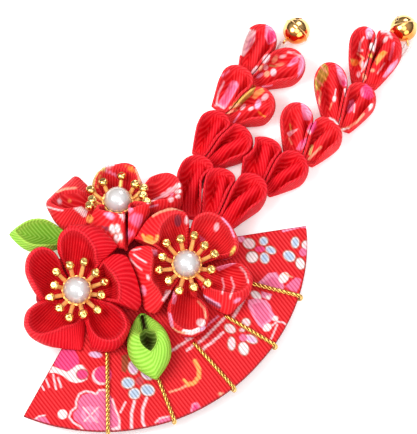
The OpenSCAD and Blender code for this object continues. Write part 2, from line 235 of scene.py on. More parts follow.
class Heap:
    # gathers several closed surfaces into one mesh, and notes which face arrays are second
    def __init__(self):
        self.points, self.faces, self.second, self.count = [], [], [], 0

    def put(self, points, faces, second=False):
        self.second += range(len(self.faces), len(self.faces) + len(faces)) if second else []
        self.points.append(points)
        self.faces += [f + self.count for f in faces]
        self.count += len(points)

    def all(self):
        return np.concatenate(self.points), self.faces


class Wire:
    # a socket that takes part in Python sums: each one adds a Math node
    def __init__(self, paint, socket):
        self.paint, self.socket = paint, socket

    def maths(self, operation, *values):
        return self.paint.add("ShaderNodeMath", {"operation": operation}, dict(enumerate(values)))

    def sine(self):
        return self.maths("SINE", self)

    def other(self, output):
        # another output of the same node
        return Wire(self.paint, self.socket.node.outputs[output])

    def __add__(self, other):
        return self.maths("ADD", self, other)

    def __radd__(self, other):
        return self.maths("ADD", other, self)

    def __sub__(self, other):
        return self.maths("SUBTRACT", self, other)

    def __rsub__(self, other):
        return self.maths("SUBTRACT", other, self)

    def __mul__(self, other):
        return self.maths("MULTIPLY", self, other)

    def __rmul__(self, other):
        return self.maths("MULTIPLY", other, self)

    def __pow__(self, other):
        return self.maths("POWER", self, other)


class Paint:
    # the nodes of one material or of the world; add() is the way to make any node: its type,
    # its settings, then the values or links of its sockets
    def __init__(self, owner):
        owner.use_nodes = True
        self.owner, self.tree = owner, owner.node_tree
        self.tree.nodes.clear()

    def add(self, kind, settings=None, values=None, output=0):
        node = self.tree.nodes.new(kind)
        for key, value in (settings or {}).items():
            if key == "stops":
                ramp = node.color_ramp
                while len(ramp.elements) < len(value):
                    ramp.elements.new(0.5)
                for element, (place, colour) in zip(ramp.elements, value):
                    element.position = place
                    element.color = (*colour, 1)
            else:
                setattr(node, key, value)
        for key, value in (values or {}).items():
            socket = node.inputs[key]
            if isinstance(value, Wire):
                self.tree.links.new(value.socket, socket)
            elif hasattr(value, "__len__") and len(value) == 3 and len(socket.default_value) == 4:
                socket.default_value = (*value, 1)
            else:
                socket.default_value = value
        return Wire(self, node.outputs[output]) if node.outputs else None

    def noise(self, scale, detail=2.0, rough=0.5, place=None):
        place = place or self.add("ShaderNodeTexCoord", output="Object")
        values = {"Vector": place, "Scale": scale, "Detail": detail, "Roughness": rough}
        return self.add("ShaderNodeTexNoise", {}, values)

    def meshTints(self):
        # the colours stored on the mesh: the print, and painted shade, highlight and reflection
        return self.add("ShaderNodeVertexColor", {"layer_name": "print"})

    def clamp(self, wire):
        return self.add("ShaderNodeClamp", {}, {"Value": wire})

    def mix(self, factor, a, b, kind="MIX"):
        # colour mix: sockets 6 and 7 are the two colours, output 2 the result
        settings = {"data_type": "RGBA", "blend_type": kind}
        return self.add("ShaderNodeMix", settings, {0: factor, 6: a, 7: b}, output=2)

    def times(self, a, b):
        return self.mix(1.0, a, b, "MULTIPLY")

    def bump(self, height, depth, strength):
        return self.add("ShaderNodeBump", {}, {"Height": height, "Distance": depth, "Strength": strength})

    def finish(self, values):
        shader = self.add("ShaderNodeBsdfPrincipled", {}, values)
        self.add("ShaderNodeOutputMaterial", {}, {"Surface": shader})
        return self.owner


ribbonLook = {
    "grooveShade": 0.40,    # painted shade in the ribs' grooves, how dark
    "crestHighlight": 0.42,    # painted highlight on their crests, how light
    "ribDepth": 0.00011,   # metres
    "sway": 0.12,          # how far the ribs stray, in ribs
    "threadPitch": 0.42,   # mm between the threads that cross a rib
    "worn": (0.72, 0.62, 0.64),
    "roughness": 0.50,
}


def newPaint(name):
    return Paint(bpy.data.materials.new(name))


def ribbonPaint(name, crestHighlightColour, grooveShadeColour, look):
    # ribs follow the UV map, where x counts ribs and y runs along them in mm: height is
    # 0.5 + 0.5 sin(tau * count), with painted shade in the grooves and a painted highlight on the crests
    paint = newPaint(name)
    count = paint.add("ShaderNodeSeparateXYZ", {}, {0: paint.add("ShaderNodeUVMap", {"uv_map": "ribs"})})
    alongRib = count.other("Y")
    ribPhase = (count + paint.noise(260) * look["sway"]) * tau
    wave = 0.5 + 0.5 * ribPhase.sine()
    threadPhase = alongRib * (tau / look["threadPitch"]) + count * 9.0
    thread = 0.5 + 0.5 * threadPhase.sine()
    valley = paint.clamp(1 - wave) ** 2.2
    top = paint.clamp(wave) ** 4.0
    cloudy = paint.noise(150, 3, 0.6)
    fine = paint.noise(2600, 2, 0.6)
    colour = paint.meshTints()
    bright = paint.clamp(paint.add("ShaderNodeRGBToBW", {}, {"Color": colour}) * 7.0)
    # painted shade in the ribs' grooves, then a painted highlight on their crests
    shade = paint.mix(valley * look["grooveShade"], colour, paint.times(colour, grooveShadeColour))
    light = paint.mix(0.5, colour, crestHighlightColour, "SCREEN")
    shade = paint.mix(top * bright * look["crestHighlight"] * (0.4 + fine), shade, light)
    patches = paint.clamp((0.62 - cloudy) * 1.6) * 0.22
    shade = paint.mix(patches, shade, paint.times(shade, look["worn"]))
    return paint.finish({
        "Base Color": shade,
        "Roughness": look["roughness"] + (fine - 0.5) * 0.25,
        "Specular IOR Level": 0.04,
        "Normal": paint.bump(wave + thread * 0.14 + fine * 0.22, look["ribDepth"], 0.9),
    })


def goldPaint(name, base, edge, roughness, dent, metal, tinted):
    # gold from base to edge as the surface turns away, with browner clouds and small dents; when tinted, times
    # the mesh's tints: painted shade on a cord, a painted reflection on a bell
    paint = newPaint(name)
    cloudy = paint.noise(420, 3, 0.6)
    fine = paint.noise(1500, 3, 0.6)
    facing = paint.add("ShaderNodeLayerWeight", {}, {"Blend": 0.35}, output="Facing")
    shade = paint.mix(facing, base, edge)
    shade = paint.mix(paint.clamp((cloudy - 0.5) * 2.4), shade, paint.times(shade, (0.80, 0.62, 0.42)))
    return paint.finish({
        "Base Color": paint.times(shade, paint.meshTints()) if tinted else shade,
        "Metallic": metal,
        "Roughness": roughness + (fine - 0.5) * 0.12,
        "Normal": paint.bump(cloudy + fine * 0.3, dent, 0.6),
    })


def pearlPaint():
    # grey-white, warmer at the edge, under a clear coat
    paint = newPaint("pearlLustre")
    cloudy = paint.noise(260, 3, 0.55)
    facing = paint.add("ShaderNodeLayerWeight", {}, {"Blend": 0.45}, output="Facing")
    shade = paint.mix(facing, linear(206, 204, 205), linear(190, 166, 142))
    shade = paint.mix(paint.clamp((cloudy - 0.45) * 2) * 0.30, shade, linear(214, 208, 206))
    return paint.finish({
        "Base Color": shade,
        "Metallic": 0.25,
        "Roughness": 0.24 + (cloudy - 0.5) * 0.08,
        "Specular IOR Level": 0.6,
        "Coat Weight": 0.8,
        "Coat Roughness": 0.06,
        "Normal": paint.bump(cloudy, 0.00003, 0.5),
    })


def feltPaint():
    # red wool: coarse clouds, fine lighter hairs and a soft sheen
    paint = newPaint("redFelt")
    cloudy = paint.noise(300, 4, 0.7)
    fine = paint.noise(3500, 3, 0.7)
    shade = paint.mix(cloudy, linear(140, 12, 28), linear(186, 22, 42))
    return paint.finish({
        "Base Color": paint.mix(fine * 0.4, shade, linear(214, 70, 80)),
        "Roughness": 0.85 + (fine - 0.5) * 0.2,
        "Specular IOR Level": 0.05,
        "Sheen Weight": 0.12,
        "Sheen Roughness": 0.6,
        "Sheen Tint": (0.9, 0.25, 0.3),
        "Normal": paint.bump(fine + cloudy * 0.5, 0.0003, 0.8),
    })


def threadPaint():
    # white fibres, a little pinker in patches
    paint = newPaint("whiteThread")
    fine = paint.noise(3000, 3, 0.6)
    shade = paint.mix(fine, linear(222, 214, 210), linear(250, 247, 244))
    return paint.finish({
        "Base Color": paint.mix(paint.noise(200) * 0.3, shade, linear(240, 214, 206)),
        "Roughness": 0.65 + (fine - 0.5) * 0.2,
        "Sheen Weight": 0.4,
        "Normal": paint.bump(fine, 0.0001, 0.7),
    })


def steelPaint():
    # brushed along the clip, which lies 56 degrees round: noise drawn out 24 times that way
    paint = newPaint("satinSteel")
    place = paint.add("ShaderNodeMapping", {}, {
        "Vector": paint.add("ShaderNodeTexCoord", output="Object"),
        "Rotation": (0, 0, math.radians(56)), "Scale": (1, 24, 24),
    })
    streak = paint.noise(160, 4, 0.7, place)
    return paint.finish({
        "Base Color": paint.mix(streak, (0.46, 0.47, 0.49), (0.74, 0.75, 0.77)),
        "Metallic": 1.0,
        "Roughness": 0.26 + streak * 0.16 + (paint.noise(120, 3) - 0.5) * 0.1,
        "Normal": paint.bump(streak, 0.00004, 0.6),
    })


def floorPaint():
    # nearly white, lit a little from within so that it stays pale
    paint = newPaint("paleFloor")
    cloudy = paint.noise(6, 3)
    return paint.finish({
        "Base Color": paint.mix(cloudy, (0.90, 0.90, 0.90), (0.93, 0.93, 0.93)),
        "Roughness": 0.9 + (cloudy - 0.5) * 0.05,
        "Specular IOR Level": 0.1,
        "Emission Color": (1, 1, 1),
        "Emission Strength": 0.28,
    })


fanLook = {**ribbonLook, "grooveShade": 0.60, "crestHighlight": 0.34, "ribDepth": 0.00005}
ribbonRows = {
    # material, painted highlight colour on the rib crests, painted shade colour in the grooves, look
    "red": ("plainRedRibbon", linear(255, 96, 100), linear(196, 150, 150), ribbonLook),
    "print": ("printedRedRibbon", linear(255, 110, 108), linear(196, 150, 150), ribbonLook),
    "fan": ("printedFanRibbon", linear(255, 110, 108), linear(190, 132, 132), fanLook),
    "green": ("leafGreenRibbon", linear(196, 238, 130), linear(140, 180, 130), ribbonLook),
}
goldRows = {
    # material, colour, colour at the edge, roughness, depth of dents in metres, metallic, tinted by the mesh
    # (painted shade on cords, painted reflection on bells)
    "gold": ("brightGold", (0.90, 0.58, 0.18), (0.94, 0.74, 0.40), 0.22, 0.00010, 1.0, False),
    "stalk": ("warmGold", (1.0, 0.52, 0.14), (1.0, 0.74, 0.36), 0.36, 0.00005, 0.45, False),
    "bell": ("bellGold", (0.94, 0.52, 0.17), (0.96, 0.70, 0.36), 0.14, 0.00006, 1.0, True),
    "cord": ("goldCord", (0.80, 0.46, 0.10), (1.0, 0.74, 0.34), 0.26, 0.00012, 0.9, True),
}
paints = {
    **{key: ribbonPaint(*row) for key, row in ribbonRows.items()},
    **{key: goldPaint(*row) for key, row in goldRows.items()},
    "pearl": pearlPaint(), "felt": feltPaint(), "thread": threadPaint(),
    "steel": steelPaint(), "floor": floorPaint(),
}
print("materials ready:", len(paints))

# The floral print is charted in the picture's own pixels.
inks = {
    "red": linear(226, 36, 44), "white": linear(250, 238, 238), "blue": linear(176, 206, 232),
    "pink": linear(236, 114, 156), "rose": linear(246, 150, 186), "hot": linear(238, 72, 132),
    "lilac": linear(226, 190, 226), "peach": linear(250, 176, 140), "orange": linear(250, 150, 60),
    "gold": linear(236, 196, 96), "olive": linear(176, 150, 60), "dusk": linear(150, 60, 80),
    "outline": linear(176, 104, 84), "blush": linear(252, 214, 220), "brick": linear(206, 78, 88),
    "apricot": linear(250, 172, 96), "rust": linear(160, 78, 48), "moss": linear(206, 190, 116),
}
inkSoft = 0.6  # pixels, half the soft edge of a mark


def oval(ink, x, y, rx, ry, turn=0):
    return "oval", (x, y), (rx, ry, math.radians(turn)), ink


def line(ink, width, *places):
    return "line", np.array(places, float).reshape(-1, 2), width, ink


def patch(ink, *places):
    spots = np.array(places, float).reshape(-1, 2)
    return "patch", np.concatenate([spots, spots[:1]]), 1, ink


def blossom(heart, *petals):
    # oval petals, each with a thin outline, and a heart in their middle
    marks = []
    for ink, x, y, rx, ry, turn in petals:
        for smaller, layer in ((-0.3, "outline"), (0.7, "white"), (1.6, ink)):
            marks.append(oval(layer, x, y, rx - smaller, ry - smaller, turn))
    return marks + [oval(*heart)]


def printColours(px, py, marks):
    # each mark is laid over what is there with a soft edge of about a pixel:
    # colour = colour * (1 - cover) + ink * cover, cover from the distance to the mark
    colours = np.tile(inks["red"], (len(px), 1))
    for kind, where, size, ink in marks:
        if kind == "oval":
            low, high, reach = where, where, size[0] + size[1] + 2
        else:
            low, high, reach = where.min(0), where.max(0), size + 1
        near = (px > low[0] - reach) & (px < high[0] + reach) & (py > low[1] - reach) & (py < high[1] + reach)
        at = np.nonzero(near)[0]
        if not len(at):
            continue
        if kind == "oval":
            dx, dy = px[at] - where[0], py[at] - where[1]
            c, s = math.cos(size[2]), math.sin(size[2])
            d = np.hypot((dx * c + dy * s) / size[0], (dy * c - dx * s) / size[1])
            inside = (1 - d) * min(size[0], size[1])
        else:
            away = np.full(len(at), 1e9)
            odd = np.zeros(len(at), bool)
            for a, b in zip(where[:-1], where[1:]):
                d, dx, dy = b - a, px[at] - a[0], py[at] - a[1]
                t = np.clip((dx * d[0] + dy * d[1]) / max(d @ d, 1e-9), 0, 1)
                away = np.minimum(away, np.hypot(dx - t * d[0], dy - t * d[1]))
                odd ^= ((a[1] > py[at]) != (b[1] > py[at])) & (dx < dy * d[0] / (d[1] or 1e-9))
            inside = np.where(odd, away, -away) if kind == "patch" else size / 2 - away
        cover = blend(-inkSoft, inkSoft, inside)[:, None]
        colours[at] = colours[at] * (1 - cover) + inks[ink] * cover
    return colours


def picturePlace(points):
    # where a layout point falls in the picture: middle + scale * x, and middle - scale * its way up
    (x, y), scale = picture["middle"], picture["scale"]
    return x + scale * points[..., 0], y - scale * (upOfY * points[..., 1] + upOfZ * points[..., 2])


fanPrint = [
    *blossom(("hot", 260, 249, 5, 2.8), ("blush", 249, 243.5, 6.5, 5.5, 20),
    ("blue", 263.5, 241, 4.8, 4.8, 0), ("blue", 270.5, 250, 6, 4.2, 25), ("white", 252, 257, 6.3, 6, 0),
    ("blue", 264.5, 258, 5, 6, -15)), *blossom(("pink", 303, 252, 4, 4), ("blue", 295, 242.5, 4.6, 6, 0),
    ("blue", 289, 256, 7, 5.4, 35), ("white", 300, 263.5, 4.8, 6.2, -20), ("blush", 306, 245, 5, 5, 0)),
    *blossom(("pink", 243, 337, 4, 3.6), ("blush", 230, 328, 6.2, 4.6, 30),
    ("blush", 231.5, 343, 4.2, 7, 0), ("white", 243.5, 348, 5.4, 7, -15), ("lilac", 251, 338.5, 7, 4.4, 25),
    ("blush", 246, 322, 4.6, 4.6, 0), ("rose", 242, 329.5, 3.2, 2.2, 0)),
    *blossom(("brick", 140, 380, 4.2, 4.2), ("lilac", 133.5, 367, 5.4, 7.2, -10),
    ("lilac", 147.5, 374, 6.8, 5, 30), ("blue", 128.5, 382, 7, 6, 0), ("blue", 135, 392.5, 6.2, 6, 0),
    ("blue", 148, 389, 7.6, 6.2, 15)),
    patch("rose", 257, 283, 262, 279, 268, 273, 276, 272, 281, 279, 284, 287, 283, 289, 270, 287, 260, 286),
    patch("pink", 263, 283, 272, 276, 279, 280, 281, 288, 270, 286),
    oval("white", 283.5, 277.5, 4.6, 6, 40), line("peach", 1.4, 284, 273, 292, 277),
    patch("pink", 285, 286, 292, 280, 296, 277, 301, 279, 299, 287, 296, 292, 290, 290),
    oval("white", 256, 295, 5.8, 3.6, 35), patch("rose", 261, 291, 272, 294, 269, 300, 262, 297),
    oval("white", 268, 297, 2.6, 2), patch("rose", 248, 300, 256, 298, 266, 300, 270, 305, 272, 311,
        276, 317, 270, 321, 266, 325, 265, 330, 258, 325, 252, 315, 248, 306),
    patch("pink", 252, 304, 262, 302, 268, 310, 270, 318, 262, 324, 256, 318),
    oval("white", 275, 318, 3, 2.6), oval("white", 267, 327, 4.6, 3.6, -35),
    line("blush", 1.6, 272, 325, 277, 321, 283, 322, 287, 325),
    line("blush", 1.6, 277, 324, 274, 331, 271, 338),
    line("blush", 3, 247, 292, 243, 300, 238, 309, 233, 317), line("rose", 2.4, 240, 296, 234, 303),
    line("blush", 2.6, 224, 318, 214, 328, 205, 337, 199, 342),
    line("blush", 2.6, 223, 332, 214, 340, 206, 346, 201, 350),
    line("blush", 2.4, 192, 337, 181, 344, 172, 350), line("blush", 2.4, 193, 345, 187, 350),
    line("rose", 1.8, 218, 316, 207, 325, 196, 333, 186, 338), patch("pink", 108, 390, 101, 390, 97, 394,
        90, 392, 83, 394, 79, 400, 79, 407, 74, 412, 75, 418, 83, 424, 90, 433, 119, 433, 120, 420,
        114, 406, 112, 396), line("blush", 2, 108, 389, 100, 389, 97, 393, 92, 391, 86, 390, 80, 393,
        77, 400, 77, 406, 72, 410, 70, 416, 74, 421, 81, 425, 86, 431),
    line("blush", 2, 113, 398, 115, 405, 120, 418, 120, 430),
    patch("blush", 112, 427, 120, 424, 120, 433, 112, 433),
    patch("red", 122, 404, 127, 404, 127, 433, 122, 433), oval("rose", 91, 413, 9, 8),
    oval("pink", 91, 413, 4.5, 4), line("blush", 1.4, 84, 406, 98, 421),
    line("blush", 1.4, 99, 406, 85, 420), line("rose", 1.2, 91, 404, 91, 423),
    patch("hot", 62, 349, 75, 349, 79, 356, 80, 362, 76, 367, 70, 370, 63, 369, 56, 365, 54, 361),
    patch("white", 53, 365, 60, 368, 68, 371, 73, 368, 78, 364, 83, 364, 88, 370, 88, 378, 83, 381, 76, 382,
        70, 380, 64, 375, 57, 372, 50, 372), oval("outline", 83, 373.5, 6.4, 5.6),
    oval("hot", 83, 373.5, 5.4, 4.6), oval("blush", 102, 375, 9.4, 9), oval("hot", 103.5, 373.5, 8.6, 8.2),
    line("blush", 2, 54, 374, 57, 388), line("blush", 2, 59, 377, 62, 386),
    line("blush", 1.8, 47, 378, 50, 386), line("blush", 1.6, 43, 385, 45, 389),
    oval("white", 63.5, 413, 4.8, 4.8), patch("pink", 37, 418, 42, 415, 47, 416, 53, 425, 47, 426, 40, 422),
    line("blush", 1.6, 36, 418, 40, 415, 46, 414), line("blush", 1.8, 126, 401, 121, 411),
    line("blush", 2.8, 135, 400, 132, 412, 132, 429),
    line("blush", 2.8, 147, 397, 143, 408, 143, 420, 147, 429),
    patch("pink", 158, 420, 162, 416, 170, 415, 172, 421, 162, 425),
    line("blush", 1.6, 156, 421, 160, 417, 169, 415),
    line("apricot", 4.2, 195, 360, 199, 368, 199, 376, 194, 382, 187, 384),
    line("peach", 1.8, 188, 384, 180, 388, 170, 391), line("apricot", 3, 184, 379, 189, 384),
    oval("peach", 223, 394, 5, 2.4, 20), patch("hot", 192, 411, 194, 403, 198, 403, 202, 409),
    line("rose", 1.8, 191, 412, 193, 403, 197, 402, 201, 408), oval("lilac", 96, 354, 6.5, 3, 8),
    patch("rust", 122, 355, 129, 353, 129, 362, 126, 372, 122, 370),
    line("rose", 2.4, 283, 231, 293, 228.5, 300, 226.5, 307, 227), oval("rose", 241, 239, 4, 3),
]
rightPrint = [
    line("apricot", 3, 143, 235, 146, 241, 152, 243, 157, 240, 158, 236),
    oval("orange", 150, 238, 4, 3, 20),
    line("peach", 2.4, 153, 216, 160, 212, 168, 209.5, 176, 208.5, 183, 209),
    oval("dusk", 178, 221, 3.6, 6), oval("blush", 187, 220, 2.6, 4.4, 15),
    oval("blush", 216.5, 227, 2.6, 4.4, 10), oval("gold", 233, 251, 2.4, 5, 20),
    patch("pink", 199, 235, 205, 239, 206, 244, 201, 243), line("rose", 1.6, 222, 218, 230, 227, 234, 237),
    patch("rose", 216, 268, 222, 263, 232, 259, 239, 257, 240, 261, 230, 266, 219, 271),
    line("pink", 1.6, 218, 267, 229, 262, 238, 259), line("blush", 1.2, 133, 250, 141, 248.5),
    line("blush", 1.5, 134, 254, 139, 258, 146, 262), line("blush", 1.5, 131, 259, 136, 265, 142, 269.5),
    oval("blush", 148.5, 277, 1.6, 2.8, -20), oval("rose", 144, 290, 2.4, 5, -10),
    oval("white", 139, 289.5, 1.6, 1.6), patch("rose", 152, 249, 157, 250, 158, 256, 154, 255),
    patch("blush", 166, 290, 171, 290, 170, 297, 166, 302, 162, 300),
    patch("rose", 172, 303, 174, 292, 178, 286, 177, 299, 175, 304),
    patch("rose", 168, 311, 172, 314, 174, 326, 170, 328), line("white", 4.2, 184, 331, 192, 332, 199, 329),
    oval("white", 201, 322, 4.6, 3.8), oval("lilac", 203, 328, 3.6, 2.4, -20),
    line("peach", 2, 172, 327, 178, 331, 185, 332), line("peach", 2.2, 198, 301, 204, 308, 206, 317),
    line("dusk", 4.6, 202, 296, 210, 301, 219, 306), line("lilac", 1.6, 203, 295, 212, 300, 220, 305),
    line("blush", 1.5, 222, 278, 224, 286, 222, 293), line("blush", 1.5, 231, 277, 234, 286, 230, 297),
    line("blush", 1.5, 240, 267, 246, 274, 248, 282), oval("rose", 237, 300, 4, 2, -30),
    oval("blush", 205, 286, 2.2, 1.6),
]
upperPrint = [
    oval("blush", 60, 201.5, 2.2, 2.6), oval("apricot", 70, 201, 1.8, 1.8),
    line("blush", 1.8, 48, 207, 55, 209, 63, 210.5), line("peach", 2.2, 57, 192, 65, 189, 76, 188),
    patch("white", 74, 208, 82, 206.5, 88, 211, 86, 217, 80, 213), oval("blush", 84, 214, 3, 2.4, 30),
    oval("apricot", 90, 219, 3.4, 4), patch("dusk", 102, 226, 110, 227, 113, 233, 106, 231),
    patch("rose", 103, 213, 111, 212, 116, 216, 113, 220, 107, 217), oval("lilac", 110, 215, 2.6, 1.6, 10),
    patch("blush", 118, 213, 127, 215, 124, 221),
    patch("pink", 129, 217, 133, 213, 138, 214, 143, 215, 143, 221, 139, 228, 134, 225, 130, 221),
    patch("pink", 127, 230, 134, 231, 135, 235, 129, 238, 126, 236), oval("rose", 131, 210, 3, 2.4),
    line("blush", 1.6, 134, 245, 137, 238), line("moss", 4, 93, 189, 94, 178, 98, 171, 104, 168),
    line("apricot", 1.2, 98, 188, 99, 178, 103, 172), line("blush", 2, 104, 167, 114, 165),
    patch("orange", 125, 165, 133, 167, 136, 173, 129, 170),
    line("peach", 3.6, 137, 170, 140, 178, 140, 186), line("rose", 2, 106, 171, 114, 174, 120, 179),
    line("blush", 2.6, 175, 172, 180, 176, 183, 183), line("blush", 2, 148, 203, 158, 198, 164, 196),
    oval("blush", 165, 194.5, 4.8, 2.6, -15), oval("blush", 171, 190, 4.6, 2.6, -20),
    oval("white", 177.5, 186, 3.6, 2.4, -15), oval("white", 178, 191.5, 3.6, 2, -5),
    oval("rose", 172, 194.5, 2, 1.6), oval("blush", 171, 199.5, 2.8, 3), oval("blush", 178, 196.5, 2.8, 2),
    line("rose", 1.4, 150, 207, 158, 205), *blossom(("outline", 117, 233.5, 1.4, 1),
    ("blush", 113, 229, 3.6, 5, -15), ("blush", 118, 228.5, 2.9, 4.8, -15),
    ("blush", 117, 238, 3, 4.4, -15), ("white", 121, 236.5, 2.6, 4.4, -15)),
]
leftStringPrint = [
    patch("white", 247, 29, 256, 30, 255, 40, 250, 48, 244, 56, 239, 54, 242, 40),
    line("lilac", 1.4, 251, 38, 246, 50), line("rose", 1.2, 255, 34, 250, 47),
    patch("rose", 266, 23, 273, 24, 279, 31, 281, 38, 275, 42, 268, 44, 265, 36),
    patch("hot", 269, 30, 274, 31, 277, 38, 269, 43, 267, 36), oval("blush", 266, 59, 5, 3.2, -50),
    oval("blush", 255, 70, 4.6, 2.4, -50), oval("peach", 261, 68, 3, 1.8, -50),
    oval("peach", 275, 59, 4, 2.4, -55), oval("blush", 283, 56, 3.6, 1.6, -15),
    oval("blush", 266, 67, 2.4, 2.8), oval("rose", 260, 75, 4, 1.8, -35),
    oval("peach", 267, 73.5, 2.8, 3.2, 20), oval("blush", 273.5, 72, 3, 3.8, 10),
    oval("peach", 280, 64, 4.6, 1.8, -10), line("moss", 1.4, 270, 65, 276, 66),
    patch("rose", 287, 66, 293, 58, 300, 54, 298, 62, 291, 66), oval("pink", 294, 60, 3, 2, -40),
    patch("rose", 301, 53, 307, 62, 303, 73, 297, 79, 299, 66),
    line("blush", 1.6, 288, 52, 294, 52, 300, 56), line("rose", 1.6, 263, 87, 272, 86),
    line("rose", 9, 234, 85, 229, 94, 223, 104), line("pink", 5, 234, 87, 229, 95, 224, 102),
    line("blush", 1.8, 224, 82, 218, 94, 216, 106), line("blush", 2, 217, 104, 224, 108),
    line("rose", 1.6, 229, 70, 222, 76),
    patch("olive", 255, 85, 248, 92, 240, 98, 233, 104, 232, 109, 240, 106, 247, 99, 254, 93),
    line("gold", 1.6, 251, 90, 244, 97, 236, 104),
    patch("apricot", 252, 97, 256, 90, 262, 88, 265, 91, 260, 95, 255, 99),
    oval("blush", 265, 97, 4.2, 2.6, -45), oval("lilac", 258, 104, 2.8, 5, 20),
    oval("blush", 251, 108.5, 3, 1.6, -30), line("peach", 2, 230, 108, 240, 104),
    line("peach", 2, 228, 113, 237, 109.5), oval("blush", 243, 107, 3.6, 1.8, -50),
    line("orange", 2, 259, 112, 264, 117), line("rose", 1.6, 240, 113, 234, 122),
]
rightStringPrint = [
    patch("lilac", 366, 29, 371, 26, 374, 33, 371, 39, 367, 38), oval("white", 370, 34, 1.8, 3),
    line("blush", 2, 364, 37, 361, 42, 360, 48), patch("white", 370, 43, 374, 45, 375, 52, 370, 51),
    oval("blush", 361, 50, 2.6, 1.4), oval("orange", 355, 62, 4, 3.4), oval("gold", 353, 60, 2, 1.6),
    line("peach", 2, 358, 53, 364, 58, 360, 63, 364, 69), line("blush", 1.8, 369, 59, 362, 71),
    oval("blush", 363, 64, 1.6, 3), oval("gold", 371, 56, 2.6, 2), oval("blush", 359, 74, 1.8, 3),
    oval("peach", 365, 76, 2, 3, -10), line("rust", 1.2, 372, 50, 373, 58),
    line("blush", 2.6, 382, 31, 388, 31, 392, 37), oval("white", 386, 39, 1.8, 3.6, 30),
    patch("apricot", 375, 61, 379, 54, 384, 50, 388, 52, 382, 59, 377, 65),
    oval("orange", 383, 53, 2.6, 2, -30), line("rust", 1.6, 374, 56, 376, 62),
    line("rose", 2.4, 390, 59, 393, 50, 394, 43), line("blush", 1.4, 378, 73, 385, 63),
    patch("rose", 383, 77, 390, 66, 398, 59, 402, 62, 400, 69, 388, 77),
    oval("lilac", 392, 69, 5, 2.2, -45), oval("peach", 373, 70, 2.4, 1.8),
    line("blush", 1.4, 376, 40, 375, 50),
    patch("olive", 324, 63, 328, 66, 329, 74, 324, 82, 318, 90, 313, 95, 314, 84, 319, 71),
    line("peach", 1.5, 321, 66, 327, 72), line("gold", 1.5, 319, 72, 326, 79),
    line("peach", 1.5, 316, 79, 323, 85), line("gold", 1.5, 315, 86, 320, 90),
    line("peach", 2, 321, 92, 319, 104), line("rose", 1.4, 317, 100, 317, 110),
    patch("rose", 336, 64, 342, 69, 347, 80, 347, 88, 341, 84, 338, 76), oval("lilac", 340, 72, 2, 4, -20),
    oval("hot", 344, 83, 2, 3.4, -20), oval("white", 334.5, 98.5, 1.8, 3, 10),
    line("peach", 1.5, 332, 103, 330, 109), line("blush", 1.2, 336, 89, 335, 95),
    line("blush", 1.6, 345, 90, 345, 97),
    patch("hot", 360, 89, 366, 84, 372, 89, 374, 97, 369, 100, 363, 97), oval("rose", 362.5, 92, 1.8, 4),
    oval("white", 371, 108, 2.6, 3.6, 15), oval("pink", 351, 106, 2.8, 7, 20),
    line("rose", 1.4, 350, 101, 352, 110), line("blush", 1.2, 355, 104, 354, 112),
    line("peach", 2.8, 342, 130, 350, 127, 358, 121, 364, 115), line("white", 1.6, 342, 130, 349, 128),
    patch("rose", 301, 103, 306, 105, 312, 114, 311, 120, 304, 120, 302, 112),
    oval("lilac", 308, 113, 1.8, 4, -20), oval("pink", 296, 101.5, 3.4, 1.6),
    patch("blush", 287, 133, 292, 130, 298, 129, 294, 133, 289, 137),
    line("peach", 1.6, 289, 138, 292, 144), line("gold", 1.4, 290, 124, 291, 130),
    patch("pink", 296, 149, 300, 142, 307, 138, 307, 143, 301, 151), oval("hot", 303, 141.5, 2.6, 1.8, -40),
    patch("hot", 307, 131, 310, 125, 316, 122, 317, 127, 313, 133, 309, 134),
    line("white", 2.2, 330, 118, 334, 120, 338, 124), line("moss", 2.8, 312, 146, 310, 154),
    line("peach", 2.4, 309, 159, 316, 152, 321, 147), oval("blush", 309, 133, 1.6, 2.4),
]
print("print charts ready")

# Petals. Each is a closed sheet of rings: under the keel, up the outer wall, over a narrow
# rolled edge and down inside. Flower petals follow charts of their edges, the others an outline.
sheet = {"around": 150, "under": 5, "wall": 16, "edge": 7, "inner": 24}
edgeRadius = 0.39   # mm, the rolled edge of a petal
wallThick = 0.80    # mm, the sheet below the edge
keepOff = 5.10      # mm, from the pearl's middle
restLevel = 7.1     # mm, just over the fan, the lowest a flower's petals go
pearlRise = 7.6     # mm, from a flower's foot to its pearl's middle
splitRow = sheet["under"] + sheet["wall"] + sheet["edge"] - 1


def closedCurve(stops, count):
    # a smooth loop through the stops (Catmull-Rom: each stretch is the cubic that leaves its
    # ends along the line between their neighbours), then count points evenly along it
    stops = np.array(stops, float)
    t = np.linspace(0, 1, 40, endpoint=False)[:, None]
    a, b, c, d = (np.roll(stops, shift, 0)[:, None] for shift in (1, 0, -1, -2))
    bent = (2 * a - 5 * b + 4 * c - d) * t ** 2 + (3 * b - a - 3 * c + d) * t ** 3
    curve = (0.5 * (2 * b + (c - a) * t + bent)).reshape(-1, stops.shape[1])
    loop = np.concatenate([curve, curve[:1]])
    gone = wayGone(loop[:, :2])
    return pointsAt(loop, gone, np.linspace(0, gone[-1], count, endpoint=False))


def loopNormal(loop):
    # the way out of a loop that runs anticlockwise: its step (x, y) turned to (y, -x)
    step = np.roll(loop, -1, 0) - np.roll(loop, 1, 0)
    out = np.stack([step[:, 1], -step[:, 0]], 1)
    return out / np.maximum(np.linalg.norm(out, axis=1), 1e-6)[:, None]


def toFlower(points, flower, turn, hub):
    # layout place to a petal's own frame: x out from the hub, z up from the flower's foot
    points = turned(points - np.array(flower["pearl"]), 0, -flower["lean"]) + np.array([0, 0, pearlRise])
    return turned(points, 2, -turn) - np.array([hub, 0, 0])


def fromFlower(points, flower, turn=0, hub=0):
    # the same steps backwards: turned round, set down by the pearl's rise, leaned, moved to the pearl
    points = turned(points + np.array([hub, 0, 0]), 2, turn) - np.array([0, 0, pearlRise])
    return turned(points, 0, flower["lean"]) + np.array(flower["pearl"])


